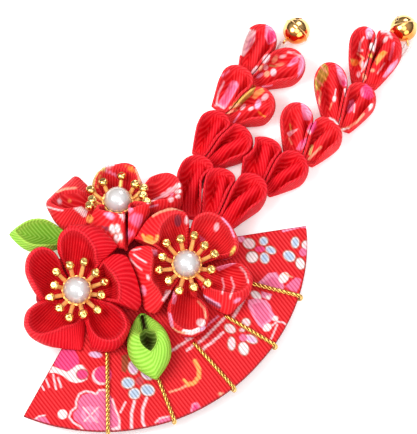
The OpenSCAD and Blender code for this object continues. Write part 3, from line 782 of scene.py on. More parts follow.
def onSurface(spots, height, flower, turn, hub):
    # where the camera's line through a picture point meets the surface z = height(x, y):
    # start + t * ray, t stepped by 0.7 of (height - start z) / (ray z)
    spots = (np.array(spots, float) - picture["middle"]) / picture["scale"]
    start = np.stack([spots[:, 0], -spots[:, 1] / upOfY, 0 * spots[:, 0]], 1)
    first = toFlower(start, flower, turn, hub)
    ray = toFlower(start + np.array([0, -upOfZ, upOfY]), flower, turn, hub) - first
    t = (8 - first[:, 2]) / ray[:, 2]
    for _ in range(12):
        spot = first + t[:, None] * ray
        t = t + 0.7 * (height(spot[:, 0], spot[:, 1]) - spot[:, 2]) / ray[:, 2]
    return (first + t[:, None] * ray)[:, :2]


def petalShape(p, grid, ribsIn, depth, edgeRows, normal, look, shown):
    # what a petal's piece is made from; the edge's share is 1 on the rolled rows and fades beside them, and
    # sets the painted highlight there; depth sets the painted shade
    edge = blend(-2.5, 0.5, edgeRows) * (1 - blend(0, 2.5, edgeRows - sheet["edge"])) + 0 * depth
    return {
        "grid": grid, "ribsIn": ribsIn, "depth": depth, "edge": edge, "normal": normal,
        "ribAngle": p["ribAngle"], "pitch": p["pitch"], "look": look, "shown": shown,
    }


petalForm = {
    "hub": 1.0,            # mm, from the flower's middle to a petal's start
    "keel": 0.36,          # share of the length where its rings have their centre
    "keelSlope": 0.55,     # share of the petal's rise that its keel has
    "footIn": 0.93,        # how far out the foot is, on the way to the widest line
    "belly": 0.3,          # share of the wall below the widest line
    "hiddenOut": 0.55,     # mm, how far a hidden wall stands out past its edge
    "ripple": (0.07, 0.05, 0.14, 0.08),  # mm, small waves of the edge, in plan and in height
    "pressGap": 0.02,      # mm, between pressed neighbours
    "ridgeStart": 0.3,     # share of the length by which a ridge is at its height
}


def flowerPetal(p, flower):
    # Chart rows give the edge in picture pixels and, where the wall shows, its widest line.
    # Edge height: foot + (top - foot) * climb, top = height / cos(rise) + x tan(rise) + y tan(roll).
    form, n = petalForm, sheet["around"]
    turn, hub, reach = p["turn"], form["hub"], p["length"]
    slope, tilt = math.tan(math.radians(p["rise"])), math.tan(math.radians(p["roll"]))
    topAt0 = p["height"] / math.cos(math.radians(p["rise"])) - edgeRadius
    # a level plane in the petal's frame: z = (level - c0 - c1 x - c2 y) / c3
    probe = fromFlower(np.array([[0.0, 0, 0], [1, 0, 0], [0, 1, 0], [0, 0, 1]]), flower, turn, hub)[:, 2]
    c = np.concatenate([probe[:1], probe[1:] - probe[0]])

    def levelAt(x, y, level):
        return (level - c[0] - c[1] * x - c[2] * y) / c[3]

    def keelAt(x):
        return 0.5 + x * slope * form["keelSlope"]

    def rimAt(x, y):
        climb = 0.30 + 0.70 * blend(0.15, 0.62, x / reach)
        return keelAt(x) + (topAt0 + x * slope + y * tilt - keelAt(x)) * climb

    def outAt(x, y):
        return np.maximum(keelAt(x) + p["outHeight"], levelAt(x, y, restLevel + 0.5))

    chart = p["chart"]
    centre = np.array([form["keel"] * reach, 0.0])
    rim = onSurface([row[:2] for row in chart], rimAt, flower, turn, hub)
    wide = onSurface([row[-2:] for row in chart], outAt, flower, turn, hub)
    away = rim - centre
    away /= np.linalg.norm(away, axis=1)[:, None]
    shown = np.array([len(row) == 4 for row in chart])
    out = np.where(shown[:, None], wide, rim + away * form["hiddenOut"])
    stops = np.concatenate([rim, out, shown[:, None]], 1)
    stops = np.concatenate([stops, [[0.1, 0, -0.1, 0, 0]]])
    area = (stops[:, 0] * np.roll(stops[:, 1], -1) - stops[:, 1] * np.roll(stops[:, 0], -1)).sum()
    loop = closedCurve(stops[::-1] if area < 0 else stops, n)
    seed = np.random.default_rng(p["seed"]).uniform(0, tau, 6)
    a = np.arange(n) / n * tau
    rim, out = loop[:, :2], loop[:, 2:4]
    radial = rim - centre
    radial = radial / np.linalg.norm(radial, axis=1)[:, None]
    waves = form["ripple"]
    rim = rim + radial * (waves[0] * np.sin(5 * a + seed[0]) + waves[1] * np.sin(9 * a + seed[1]))[:, None]
    rimZ = rimAt(*rim.T) + waves[2] * np.sin(3 * a + seed[2]) + waves[3] * np.sin(7 * a + seed[3])
    footZ = np.maximum(keelAt(out[:, 0]), levelAt(*out.T, restLevel))
    outZ = np.minimum(outAt(*out.T), rimZ - 0.6)

    # under: from near the keel to the foot, which stands a little inside the widest line
    foot = centre + (out - centre) * form["footIn"]
    under = np.linspace(0.08, 1, sheet["under"])
    rows = [(centre + (foot - centre) * v, footZ * v + 0.5 * (1 - v)) for v in under]
    # wall: foot to widest line in the first share, then a curve up to the edge
    for v in np.linspace(0, 1, sheet["wall"] + 1)[1:]:
        if v < form["belly"]:
            k = math.sin(v / form["belly"] * math.pi / 2)
            rows.append((foot + (out - foot) * k, footZ + (outZ - footZ) * v / form["belly"]))
        else:
            k = (v - form["belly"]) / (1 - form["belly"])
            swell = p["swell"] * math.sin(k * math.pi)
            rows.append((out + (rim - out) * k + radial * swell, outZ + (rimZ - outZ) * (k + swell * 0.1)))
    # edge: half a circle over the top
    for v in np.linspace(0, math.pi, sheet["edge"] + 1)[1:]:
        rows.append((rim - radial * edgeRadius * (1 - math.cos(v)), rimZ + edgeRadius * math.sin(v)))
    outer = len(rows)
    # inside: down a steep wall to a rounded floor; a soft ridge may run out along it
    inner = rim - radial * wallThick
    floorZ = keelAt(centre[0]) + p["floor"]
    for v in np.linspace(1, 0.03, sheet["inner"] + 1)[1:]:
        lift = (1 - p["steep"]) * v ** p["hollow"] + p["steep"] * v ** 9
        rows.append((centre + (inner - centre) * v, floorZ + (rimZ - floorZ) * lift))
    grid = np.stack([
        np.concatenate([plan, np.broadcast_to(np.reshape(z, (-1, 1)), (n, 1))], 1) for plan, z in rows
    ])
    rowNumber = np.arange(len(rows))[:, None]
    inside = rowNumber >= outer
    if p["ridge"]:
        side, tall, broad = p["ridge"]
        off = (grid[..., 1] - side * grid[..., 0]) / broad
        share = np.linalg.norm(grid[..., :2] - centre, axis=2) / np.linalg.norm(inner - centre, axis=1)[None]
        room = 1 - blend(0.55, 0.95, share)
        ridge = tall * np.exp(-off ** 2) * room * blend(0, form["ridgeStart"], grid[..., 0] / reach)
        grid[..., 2] += np.where(inside, ridge, 0)
    level = levelAt(grid[..., 0], grid[..., 1], restLevel + np.where(inside, 0.5, 0))
    grid[..., 2] = softMax(grid[..., 2], level, 0.1)
    # pressed flat against the neighbours, the inside by the sheet's thickness more
    edgeRows = rowNumber - (outer - sheet["edge"])
    rolled = edgeRadius * (1 - np.cos(math.pi * (edgeRows + 1) / sheet["edge"])) * 0.9
    thick = np.where(inside, wallThick, np.where(edgeRows >= 0, rolled, 0))
    grid[..., 0] += hub
    for sign, room, shift in ((1, p["roomLeft"], p["shiftLeft"]), (-1, p["roomRight"], p["shiftRight"])):
        limit = besideLine(grid[..., 0], room, shift - form["pressGap"] - thick)
        if shift > 0:
            limit = np.minimum(limit, besideLine(grid[..., 0], 60, 0))
        limit = np.maximum(limit, 0.05) if shift >= 0 else limit
        grid[..., 1] = sign * softMin(sign * grid[..., 1], limit, 0.04)
    grid = pushOut(grid, np.array([0, 0, pearlRise]), keepOff, 0.05)
    grid[..., 0] -= hub
    # ribs inside fan out from the hub and bow with the cup
    across = grid[..., 1] / (0.55 + 0.45 * np.clip(grid[..., 0] / reach, 0, 1.2))
    count = (across + 0.04 * grid[..., 0] + 0.6 * np.sin(seed[4])) / p["pitch"]
    # how far down inside, which the piece darkens as painted shade
    sunk = 1 - np.clip((grid[..., 2] - floorZ) / np.maximum(rimZ[None] - floorZ, 0.5), 0, 1)
    normal = turned(np.concatenate([radial, 0 * radial[:, :1]], 1), 2, turn)[:, :2]
    return petalShape(
        p, fromFlower(grid, flower, turn, hub), np.stack([count, grid[..., 0]], -1),
        np.where(inside, sunk, 0), edgeRows, normal, "red", loop[:, 4] > 0.5,
    )


# Lengths in mm, shares along or across a petal; stops give the wall as (share out, share up).
stringLook = {
    "foot": 2.0, "nose": 3.5, "hub": 1.2, "widest": 0.68, "floor": 0.0,
    "stops": [(0.08, 0), (0.55, 0), (0.80, 0.02), (0.90, 0.12), (0.94, 0.40), (0.93, 0.75)],
    "ridge": 0.84, "ridgeRun": (0.74, 1.12), "ridgeAt": -0.12, "flanks": (0.38, 0.42),
    "wallPowers": (2.3, 3.6), "valleyAt": 0.42,
}
stringPetal = {
    "look": stringLook, "isLeaf": False, "mouth": 0.90, "climb": 0.05, "wide": 0.60, "clear": [],
    "lobe": [], "slit": None, "ribLean": 66, "pitch": 0.93, "ribAngle": 38, "tint": "string",
}
leafLook = {
    "foot": 2.0, "nose": 0.5, "hub": 0.0, "floor": 0.05,
    "stops": [(0.08, 0), (0.55, 0), (0.86, 0.08), (0.98, 0.26), (1, 0.42)],
}
leafPetal = {
    "look": leafLook, "isLeaf": True, "rise": 0, "roomLeft": 90, "roomRight": 90, "clear": [],
    "pitch": 0.86, "ribAngle": 55,
}


loopForm = {
    "keel": 0.42,        # share of the length where its rings have their centre
    "ripple": 0.008,     # share of the width, small waves of the outline
    "bob": 0.16,         # mm, a wave of the edge's height
    "gap": 0.15,         # mm, to the line where a pair parts
    "clearGap": 0.12,    # mm, to a petal of the other string
    "mostRoom": 80,      # degrees
}


def loopPetal(p, place):
    # A loop of ribbon or a leaf: its outline is y = +-half(u), each ring a scaled copy of it.
    g, s, form, n = sheet, p["look"], loopForm, sheet["around"]
    a = (np.arange(n) + 0.5) / n * tau
    u = (1 + np.cos(a)) / 2
    side = np.where(a < math.pi, 1.0, -1.0)
    seed = np.random.default_rng(p["seed"]).uniform(0, tau, 6)
    length, width, height, mouth = p["length"], p["width"], p["height"], p["mouth"]

    def halfWidth(share):
        share = np.clip(share, 0, 1)
        if p["isLeaf"]:
            # pointed at both ends: sin(180 u^k)^0.62, k puts the widest place at the belly
            arch = np.sin(math.pi * share ** (math.log(0.5) / math.log(p["belly"])))
            return width / 2 * np.clip(arch, 0, 1) ** (0.62 + 0.18 * blend(0.55, 0.95, share))
        # sides that part a little from a wide foot, and a round end
        sides = p["wide"] + (1 - p["wide"]) * np.sin(math.pi / 2 * np.minimum(share / s["widest"], 1))
        end = np.sqrt(np.clip(1 - (np.maximum(share - s["widest"], 0) / (1 - s["widest"])) ** 2, 0, 1))
        return width / 2 * sides * end * np.sqrt(np.clip(share / 0.05, 0, 1))

    wallRows = g["under"] + g["wall"]
    profile = evenWalk(s["stops"] + p["lobe"] + [(mouth + 0.004, 0.95), (mouth, 1)], wallRows, 2)
    t = np.linspace(0, math.pi, g["edge"] + 1)[1:]
    down = np.linspace(1, 0.03, g["inner"] + 1)[1:]
    none = np.zeros(wallRows)
    share = np.concatenate([profile[:, 0], np.full(g["edge"], mouth), down * mouth])[:, None]
    lift = np.concatenate([profile[:, 1], np.ones(g["edge"]), 0 * down])[:, None]
    roll = np.concatenate([none, np.sin(t), 0 * down])[:, None] * edgeRadius
    innerInset = wallThick + (2 * edgeRadius - wallThick) * blend(0.9, 1, down)
    inset = np.concatenate([none, edgeRadius * (1 - np.cos(t)), innerInset])[:, None]
    rowNumber = np.arange(len(share))[:, None]
    inside = rowNumber >= wallRows + g["edge"]
    waves = np.sin(2 * a + seed[0]) + 0.7 * np.sin(3 * a + seed[1]) + 0.5 * np.sin(5 * a + seed[2])
    ripple = 1 + form["ripple"] * waves
    keel = form["keel"] * length
    x = keel + (u * length - keel) * share * (1 - 2 * inset / length)
    y = side * halfWidth(u) * share * (1 - 2 * inset / width) * ripple
    # the height of the edge beside each point: inside, that of the place along the petal
    toEdge = share / mouth
    beside = np.where(inside, ((u * length - keel) * toEdge + keel) / length, u)
    climb = blend(p["climb"], p["climb"] + 0.45, beside)
    bob = form["bob"] * np.sin(3 * a + seed[3]) * climb * np.where(inside, toEdge, 1)
    top = s["foot"] + (height - s["foot"]) * climb + bob - edgeRadius
    low = inset + s["nose"] * blend(0.62, 1, x / length)
    at = np.clip(x / length, 0.02, 0.98)
    across = y / np.maximum(halfWidth(at) * mouth, 0.4)
    if p["isLeaf"]:
        innerLift = s["floor"] + (1 - s["floor"]) * (0.8 * toEdge ** 1.6 + 0.2 * toEdge ** 10)
    else:
        # an easy wall on the left, a steep one on the right and a rounded ridge along the loop
        leftShare = blend(-0.3, 0.3, across)
        power = s["wallPowers"][0] * leftShare + s["wallPowers"][1] * (1 - leftShare)
        wall = s["floor"] + (1 - s["floor"]) * (0.75 * toEdge ** power + 0.25 * toEdge ** 14)
        off = across - s["ridgeAt"]
        off = np.where(off > 0, off / s["flanks"][0], off / s["flanks"][1])
        ridge = s["ridge"] * (1 - blend(*s["ridgeRun"], at)) * np.exp(-off ** 4)
        innerLift = np.clip(softMax(wall, ridge, 0.05), 0, 1)
    z = low + (top - low) * np.where(inside, innerLift, lift) + roll
    # how far down inside, which the piece darkens as painted shade
    depth = np.where(inside, 1 - innerLift, 0) + 0 * x
    if p["slit"]:
        # a cut from the foot to the hole: z falls by depth * e^-(y / width)^2; the cut is darkened as painted
        # shade
        deep, thin, upTo = p["slit"]
        run = (1 - blend(upTo - 0.08, upTo + 0.02, x / length)) * blend(0.3, 0.8, lift)
        cut = deep * np.exp(-(y / thin) ** 2) * run
        z = np.maximum(z - np.where(inside, 0, cut), low + 0.4 * lift)
        depth = np.maximum(depth, np.where(inside, 0, np.clip(1.5 * cut / deep, 0, 1)))
    # the ribs lean across the loop's ridge, and turn back at the keel of a leaf and at the foot
    # of a loop's easy wall
    if p["isLeaf"]:
        zig = abs(y)
    else:
        zig = np.where(across > s["valleyAt"], 2 * s["valleyAt"] - across, across) * width / 2
    c, sn = math.cos(math.radians(p["ribLean"])), math.sin(math.radians(p["ribLean"]))
    ribsIn = np.stack([(c * x - sn * zig) / p["pitch"], sn * x + c * zig], -1)
    points = turned(np.stack([x, y, z], -1), 1, -p["rise"])
    points[..., 0] += s["hub"]
    for sign, room in ((1, p["roomLeft"]), (-1, p["roomRight"])):
        limit = besideLine(points[..., 0], min(room, form["mostRoom"]), -(form["gap"] + inset))
        limit = np.maximum(limit, np.where(inset > 0, 0.05, 0.15))
        points[..., 1] = sign * softMin(sign * points[..., 1], limit, 0.22)
    points = turned(points, 2, p["turn"]) + np.array(place)
    for start, end, (narrow, broad) in p["clear"]:
        # kept out of a neighbour, a strip from start to end of growing half width
        run = np.array(end) - np.array(start)
        t = np.clip((points[..., :2] - np.array(start)) @ run / (run @ run), 0, 1)[..., None]
        halfStrip = narrow + (broad - narrow) * t + form["clearGap"] + inset[..., None]
        points[..., :2] = pushOut(points[..., :2], np.array(start) + t * run, halfStrip, 0.08)
    normal = loopNormal(points[splitRow, :, :2])
    return petalShape(p, points, ribsIn, depth, rowNumber - wallRows, normal, p["tint"], np.zeros(n, bool))


ribbonRed = linear(217, 18, 34)
leafGreen = linear(150, 206, 70)
# painted highlight colours added along the rolled edges
redEdgeHighlight, darkRedEdgeHighlight, greenEdgeHighlight = (0.08, 0.010, 0.012), (0.07, 0.010, 0.012), (0.10, 0.12, 0.02)
paintedShading = {
    # painted shade: colour left deep inside; painted highlight added at the edge; how soon the painted shade
    # deepens
    "string": ((0.92, 0.26, 0.36), darkRedEdgeHighlight, 0.8),
    "string print": ((0.92, 0.62, 0.68), darkRedEdgeHighlight, 0.8),
    "red print": ((0.70, 0.34, 0.40), redEdgeHighlight, 0.8),
    "red": ((0.66, 0.22, 0.28), redEdgeHighlight, 0.8),
    "green": ((0.44, 0.52, 0.32), greenEdgeHighlight, 0.8),
    # near-black painted shade deep in the lower leaf's hole and slit
    "dark green": ((0.05, 0.008, 0.010), greenEdgeHighlight, 0.34),
}
flatShare = 0.62  # how much of the way down a hidden wall the print is carried on by


def petalPiece(name, node, shape, paint, marks=None):
    # the piece from its shape: UVs count ribs, x = way round / pitch * sin + way down / pitch * cos
    # outside, and the colours are the print's, times deep^depth as painted shade inside, plus a painted
    # highlight on the rolled edge
    grid = shape["grid"]
    rows, columns = grid.shape[:2]
    points, faces = closedGrid(grid)
    walls = faces[0]

    # ribs outside: a whole number of them round the edge, slanting with the way down the wall
    step = np.linalg.norm(np.diff(grid, axis=0), axis=2)
    gone = np.concatenate([np.zeros((1, columns)), np.cumsum(step, 0)])
    outward = np.maximum(gone[splitRow] - gone, -1)
    rim = grid[splitRow]
    around = wayGone(np.concatenate([rim, rim[:1]]))
    angle = math.radians(shape["ribAngle"])
    whole = round(around[-1] * math.sin(angle) / shape["pitch"])
    count = around[None, :-1] / around[-1] * whole + math.cos(angle) * outward / shape["pitch"]
    ribsOut = np.stack([count, outward], -1)
    isOut = (np.arange(len(walls)) // columns <= splitRow)[:, None, None]
    quadsOut = ribsOut.reshape(-1, 2)[walls]
    last = np.arange(len(walls)) % columns == columns - 1
    quadsOut[last] += np.array([whole, 0]) * (walls[last] % columns == 0)[..., None]
    quads = np.where(isOut, quadsOut, shape["ribsIn"].reshape(-1, 2)[walls])
    poles = [ribsOut[0].mean(0), shape["ribsIn"][-1].mean(0)]
    uvPoints = np.concatenate([shape["ribsIn"].reshape(-1, 2), poles])
    uv = np.concatenate([quads.reshape(-1, 2), uvPoints[faces[1].ravel()], uvPoints[faces[2].ravel()]])

    if marks is None:
        tints = np.tile(ribbonRed if paint == "red" else leafGreen, (len(points), 1))
    else:
        # the print lies on a hidden wall as if it were turned out flat: picture place of the
        # edge plus a share of the way down the wall along the edge's outward direction
        px, py = picturePlace(points)
        rimX, rimY = picturePlace(rim)
        down = picture["scale"] * flatShare * np.maximum(outward, 0)
        hidden = np.repeat(np.arange(rows) < splitRow, columns) & ~np.tile(shape["shown"], rows)
        px[:-2] = np.where(hidden, (rimX + shape["normal"][:, 0] * down).reshape(-1), px[:-2])
        py[:-2] = np.where(hidden, (rimY - shape["normal"][:, 1] * down).reshape(-1), py[:-2])
        tints = printColours(px, py, marks)
    # painted shade deep inside the folds and a painted highlight along the rolled edge
    deep, light, curve = paintedShading[shape["look"] + (" print" if marks else "")]
    depth = np.concatenate([shape["depth"].reshape(-1), [0, 1]])[:, None]
    edge = np.concatenate([shape["edge"].reshape(-1), [0, 0]])[:, None]
    tints = tints * (1 - depth ** curve * (1 - np.array(deep)))
    tints = tints + (1 - tints) * np.array(light) * edge
    return makePiece(name, points, faces, paints[paint], [node], uv, tints)


# Petal rows: turn, rise, roll, length, height, height of the widest line, swell of the wall,
# ridge inside (side, height, breadth) or None, and the chart of its edge in picture pixels.
flowers = {
    "plain": {
        "pearl": (-39.0, -28.9, 14.6), "lean": 15, "cup": 3.1,
        "paint": "red", "slot": "red_ribbon", "marks": None,
        "borders": (47, 117, 196, 284, 340),
        "petals": [
            (12, 30, 0, 20.5, 8, 3.0, 0.3, None, [
                (97, 268), (101, 262.5), (104, 261, 107, 256), (109, 266, 117, 253.5), (114, 271, 127, 256),
                (118, 277, 133.2, 267),
                (121, 284, 138.2, 281), (121.5, 291, 141, 294), (120.5, 298, 141, 305), (117, 303, 131, 314),
                (110, 302.5), (104, 298.5), (97, 294)]),
            (80, 14, -24, 18, 9, 4.5, 0.5, (0.06, 2.4, 1.5), [
                (68, 270), (63.5, 261), (60.5, 252), (60, 244), (62, 236), (66.5, 231),
                (72, 228.5, 72, 225.5), (79, 229, 82, 224.5),
                (85, 233, 91, 225), (90, 238, 101, 228.5), (94.5, 244, 110.5, 236.5), (97.5, 251, 117, 244),
                (98.5, 258, 119, 251), (100, 265, 110, 257), (100.5, 270)]),
            (147, 12, 0, 16.5, 8, 3.5, 0.3, None, [
                (63, 273), (61, 263), (57, 255), (51.5, 249.5), (44, 247.5), (36.5, 249), (30.5, 255),
                (28, 263), (28.5, 272),
                (32, 281), (37, 289.5), (42.5, 297), (52, 299)]),
            (235, 16, 0, 20, 8, 3.0, 0.5, (-0.10, 1.2, 1.8), [
                (60, 302), (50, 300.5), (43, 301.5), (35.5, 305), (29.5, 311), (27.5, 320),
                (29, 327, 27.3, 329.5), (33.5, 332.5, 32.2, 337),
                (41, 334.5, 42, 343), (50, 333, 53, 346.5), (60, 330, 64, 348), (70, 326.5, 74, 349),
                (79, 322.5, 82, 349), (83.5, 316.5, 84, 340), (83, 308)]),
            (308, 16, 0, 20.8, 8, 3.0, 0.5, None, [
                (85, 306), (86, 314), (88, 322), (91.5, 330, 90.5, 345), (97, 336.5, 97, 350),
                (105, 340.5, 106, 351.5), (113, 341, 115, 349.5),
                (120.5, 338, 124, 343), (126, 331, 128.3, 334), (127.5, 323, 130.8, 324), (125, 314.5),
                (119.5, 307.5), (111, 302.5), (102, 299), (95, 296)]),
        ],
    },
    "upper": {
        "pearl": (-27.1, -0.5, 14.6), "lean": -16, "cup": 4.0,
        "paint": "print", "slot": "printed_ribbon", "marks": upperPrint,
        "borders": (40, 138, 212, 270, 341), "shifts": {3: 3.1},
        "petals": [
            (12, 3, 0, 18.5, 8.5, 3.0, 0.3, None, [
                (141, 187), (146, 181), (153, 176), (160, 173.5), (168, 173.5), (175.5, 176), (180, 181.5),
                (181.5, 188, 182.5, 194), (180, 195, 182, 204),
                (174, 199, 177, 209), (166, 200.5, 167, 212), (156, 202, 156, 213), (147, 204.5, 148, 213),
                (140, 206)]),
            (88, 12, 0, 12.5, 8, 3.5, 0.3, None, [
                (97, 190), (94.5, 183), (95.5, 176), (99.5, 171), (105, 166.5), (113, 164.3), (122, 163),
                (130, 164.2), (136, 168.5), (139, 176), (141, 182), (140, 188)]),
            (184, 2, 0, 20, 8.5, 3.0, 0.2, None, [
                (98, 198), (90, 194.5, 91.5, 188), (81, 191, 87.5, 180.5), (71, 190, 79.8, 171.8),
                (62, 191, 65, 184), (54.5, 195.5, 54, 194), (49, 201.5, 46.5, 202.5),
                (53, 206, 49, 210), (60, 209, 54, 218), (69, 209.5, 62, 225), (78, 208.5, 72, 226.5),
                (87, 208, 83, 225), (97, 206, 95, 221)]),
            (246, 14, 0, 6.5, 8.5, 2.0, 0.2, None, [
                (101, 204), (97, 209, 88, 221), (104, 212, 96, 227), (111, 214, 104, 234),
                (118, 215, 113, 242), (124, 215, 121, 247), (127.5, 211, 129, 243), (125, 206)]),
            (309, 14, 0, 6.5, 8.5, 2.0, 0.2, None, [
                (126.5, 206), (127.5, 212.5, 125.5, 243), (133, 210, 131.2, 241), (139, 207.5, 138, 233),
                (145, 205.5, 144, 224), (150, 204, 151, 215), (146, 200)]),
        ],
    },
    "right": {
        "pearl": (-6.8, -20.6, 14.6), "lean": 11, "cup": 3.1,
        "paint": "print", "slot": "printed_ribbon", "marks": rightPrint,
        "borders": (86, 153, 240, 298, 367),
        "petals": [
            (48, 12, 0, 18, 8.5, 3.5, 0.3, (0.10, 1.6, 1.8), [
                (191, 247), (191, 237), (192, 227), (195, 218.5), (201, 213.5), (209, 212), (217, 214),
                (225, 219.5), (231, 227), (235.5, 236), (236.5, 245), (233, 251.5), (226, 255), (216, 257)]),
            (118, 14, 12, 18, 8.5, 3.5, 0.3, (-0.05, 1.8, 1.6), [
                (153, 248, 134, 245), (156, 240, 137.5, 235), (157.5, 232, 142, 227), (160, 225, 148, 219),
                (164, 219, 155.5, 213), (169, 214.5, 163.5, 209.5),
                (175, 212, 172, 207.5), (182, 211.5), (186.5, 215), (188, 222), (188, 230), (187.5, 240),
                (187, 247)]),
            (190, 29, 0, 19, 7.7, 3.0, 0.3, None, [
                (154, 247, 148, 247), (152, 254, 132, 249), (150.5, 261, 129, 256.5),
                (149.5, 269, 134.3, 269.5), (150, 277, 138.9, 283), (153, 284, 141.8, 295),
                (158, 290, 144.5, 308), (161.5, 296, 153, 313), (164.5, 301, 161, 310), (170, 297),
                (173, 288)]),
            (268, 12, 0, 20.5, 8, 3.5, 0.7, None, [
                (176, 293), (171, 301), (169.5, 311), (172, 320.5), (178, 327.5), (186, 331), (195.5, 330),
                (203, 324.5), (206.5, 316), (206, 307), (201, 299.5), (194, 294)]),
            (338, 12, 0, 18.5, 8, 3.0, 0.4, (0.05, 1.4, 1.6), [
                (213, 268), (223, 265), (233, 263), (241.5, 264), (247.5, 269.5), (250.5, 277, 252, 279),
                (249.5, 285, 251, 289), (244, 290.5, 247, 297),
                (235, 294, 238, 306), (225, 293.5, 228, 314), (214, 291, 216, 309), (206, 286.5, 206, 300),
                (200, 281)]),
        ],
    },
}


petalNames = ("turn", "rise", "roll", "length", "height", "outHeight", "swell", "ridge", "chart")
flowerPetalLook = {"pitch": 0.93, "ribAngle": 78, "floor": 0.9, "steep": 0.30, "hollow": 1.7}


def makeFlowerPetals(kind, flower, seed):
    # each petal has the room between its flower's borders on both sides, in degrees from its turn
    borders, shifts = flower["borders"], flower.get("shifts", {})
    for i, row in enumerate(flower["petals"]):
        p = {**dict(zip(petalNames, row)), **flowerPetalLook, "seed": seed + i}
        p["roomLeft"] = (borders[i] - p["turn"]) % 360
        p["roomRight"] = (p["turn"] - borders[i - 1]) % 360
        p["shiftLeft"], p["shiftRight"] = shifts.get(i, 0), -shifts.get(i - 1, 0)
        petalPiece(
            f"{kind}FlowerPetal{i + 1}", f"{kind}_flower_petal_{i + 1}", flowerPetal(p, flower),
            flower["paint"], flower["marks"],
        )


for seed, (kind, flower) in enumerate(flowers.items()):
    makeFlowerPetals(kind, flower, 10 * seed + 1)
print("flower petals ready")

# Two petals lie against one of the other string: a strip from start to end, with its half widths.
besideLeft = {"wide": 0.95, "clear": [((-0.8, 17.3), (7.42, 21.2), (4.0, 5.7))]}
besideRight = {"wide": 1.05, "roomLeft": 23, "clear": [((1.25, -1.75), (2.77, 6.4), (3.71, 5.18))]}
# a pair: foot, rise, height, left petal (turn, length, width, what differs), right petal
stringPairs = {
    "left": {
        "plainFrom": 5, "marks": leftStringPrint,
        "pairs": [
            ((9.9, 42.2, 0.95), 0, 7.7, (66, 16.9, 10.2, {}), (14.5, 18.2, 11.4, {})),
            ((3.0, 30.6, 0.95), 0, 7.7, (63.5, 15.2, 10.8, {"wide": 0.78}), (12, 16, 11.2, {})),
            ((-3.5, 16, 0.95), 0, 7.7, (64.5, 15.4, 10.5, {}), (25.5, 16.8, 11.8, {})),
            ((-9.4, -3.6, 3.9), -11, 8.5, (69.5, 19.8, 11.2, besideRight), None),
        ],
    },
    "right": {
        "plainFrom": 7, "marks": rightStringPrint,
        "pairs": [
            ((44.2, 39.1, 0.95), 0, 7.7, (85.5, 18.2, 9.2, {}), (59.5, 18.7, 12, {})),
            ((37.1, 25.8, 0.95), 0, 7.7, (96, 20.1, 10.6, {}), (52.5, 15.8, 10.2, {})),
            ((26, 15.7, 0.95), 0, 7.7, (92, 17.2, 10.6, {"wide": 0.82}), (45, 15.5, 11, {})),
            ((13.8, 7.2, 0.95), 0, 7.7, (80, 14.8, 12.4, besideLeft), (30, 16.2, 10.9, {})),
            ((0.8, -4.2, 3.6), -11, 8.5,
             (79.5, 14.8, 10.2, {"wide": 0.80}), (41.5, 18.3, 11.8, {"wide": 0.88})),
        ],
    },
}
loneRoom = 75  # degrees, beside a petal that has no partner


def makeString(name, row, seed):
    # the petals of a pair part along the line halfway between their turns
    number = 0
    for foot, rise, height, left, right in row["pairs"]:
        half = (left[0] - right[0]) / 2 if right else loneRoom
        for one, roomLeft, roomRight in ((left, 90, half), (right, half, 90)):
            if one is None:
                continue
            number += 1
            turn, length, width, changes = one
            p = {
                **stringPetal, "turn": turn, "length": length, "width": width, "rise": rise, "height": height,
                "roomLeft": roomLeft, "roomRight": roomRight, "seed": seed + number, **changes,
            }
            plain = number >= row["plainFrom"]
            petalPiece(
                f"{name}StringPetal{number}", f"{name}_string_petal_{number}", loopPetal(p, foot),
                "red" if plain else "print",
                None if plain else row["marks"],
            )


for seed, (name, row) in enumerate(stringPairs.items()):
    makeString(name, row, 100 + 20 * seed)
print("string petals ready")

leaves = {
    "side": {
        "place": (-38.3, -9.9, 5.7), "turn": 177, "length": 20.8, "width": 10, "height": 5.6, "mouth": 0.88,
        "climb": 0.10, "belly": 0.60, "lobe": [], "slit": None, "ribLean": 52, "tint": "green",
    },
    "lower": {
        "place": (-20.1, -33.2, 7.2), "turn": -79, "length": 22.8, "width": 13, "height": 7.4, "mouth": 0.44,
        "climb": 0.0, "belly": 0.55, "ribLean": 48, "tint": "dark green",
        "lobe": [(0.97, 0.70), (0.86, 0.95), (0.72, 1.06), (0.58, 1.08), (0.50, 1.04)],  # (share out, share up)
        "slit": (5.5, 0.50, 0.36),  # depth, half width, share of the length where it ends
    },
}
for seed, (name, leaf) in enumerate(leaves.items()):
    shape = loopPetal({**leafPetal, **leaf, "seed": 300 + seed}, leaf["place"])
    petalPiece(f"{name}Leaf", f"{name}_leaf", shape, "green")
print("leaves ready")

# Pearls in their gold cups, with stamens.
stamenSettings = {
    "turns": [15 + 30 * i for i in range(12)],
    "upperTurns": [-9, 9, 27, 47, 82, 125, 157, 183, 198, 232, 262, 296],
    "reach": 8.6, "step": 1.1, "headZ": 8.2, "headRadius": 1.46, "tiltHead": 14,
    "start": (3.4, 4.6), "stalkWide": 0.72, "stalkThin": 0.55, "sag": 0.55,
    "tuckedFrom": 9, "tucked": (3.9, 4.9, 0.5),  # reach, height and head size of the upper flower's last ones
    # a stamen's number: degrees aside, mm up and mm further
    "lifted": {
        "plain": {
            1: (-4, 0.9, 0), 4: (4, -0.6, -0.5), 5: (3, -0.4, -0.8), 6: (2, 0, -0.5),
            7: (2, -0.3, 0), 11: (2, 0.7, 0),
        },
        "upper": {},
        "right": {0: (3, 0.5, 0), 6: (0, 0.5, 0)},
    },
    "dent": (0.42, 0.60),   # depth and width of the dent in a head
    "bend": 0.66,           # degrees, how far a stamen strays aside
}
pearlSettings = {
    "radius": 4.0, "cupGap": 0.15, "cupWall": 0.45,
    "scallop": 0.50, "scallops": 12, "flute": 0.02, "flutes": 24,  # heights in mm and as a share of the radius
}


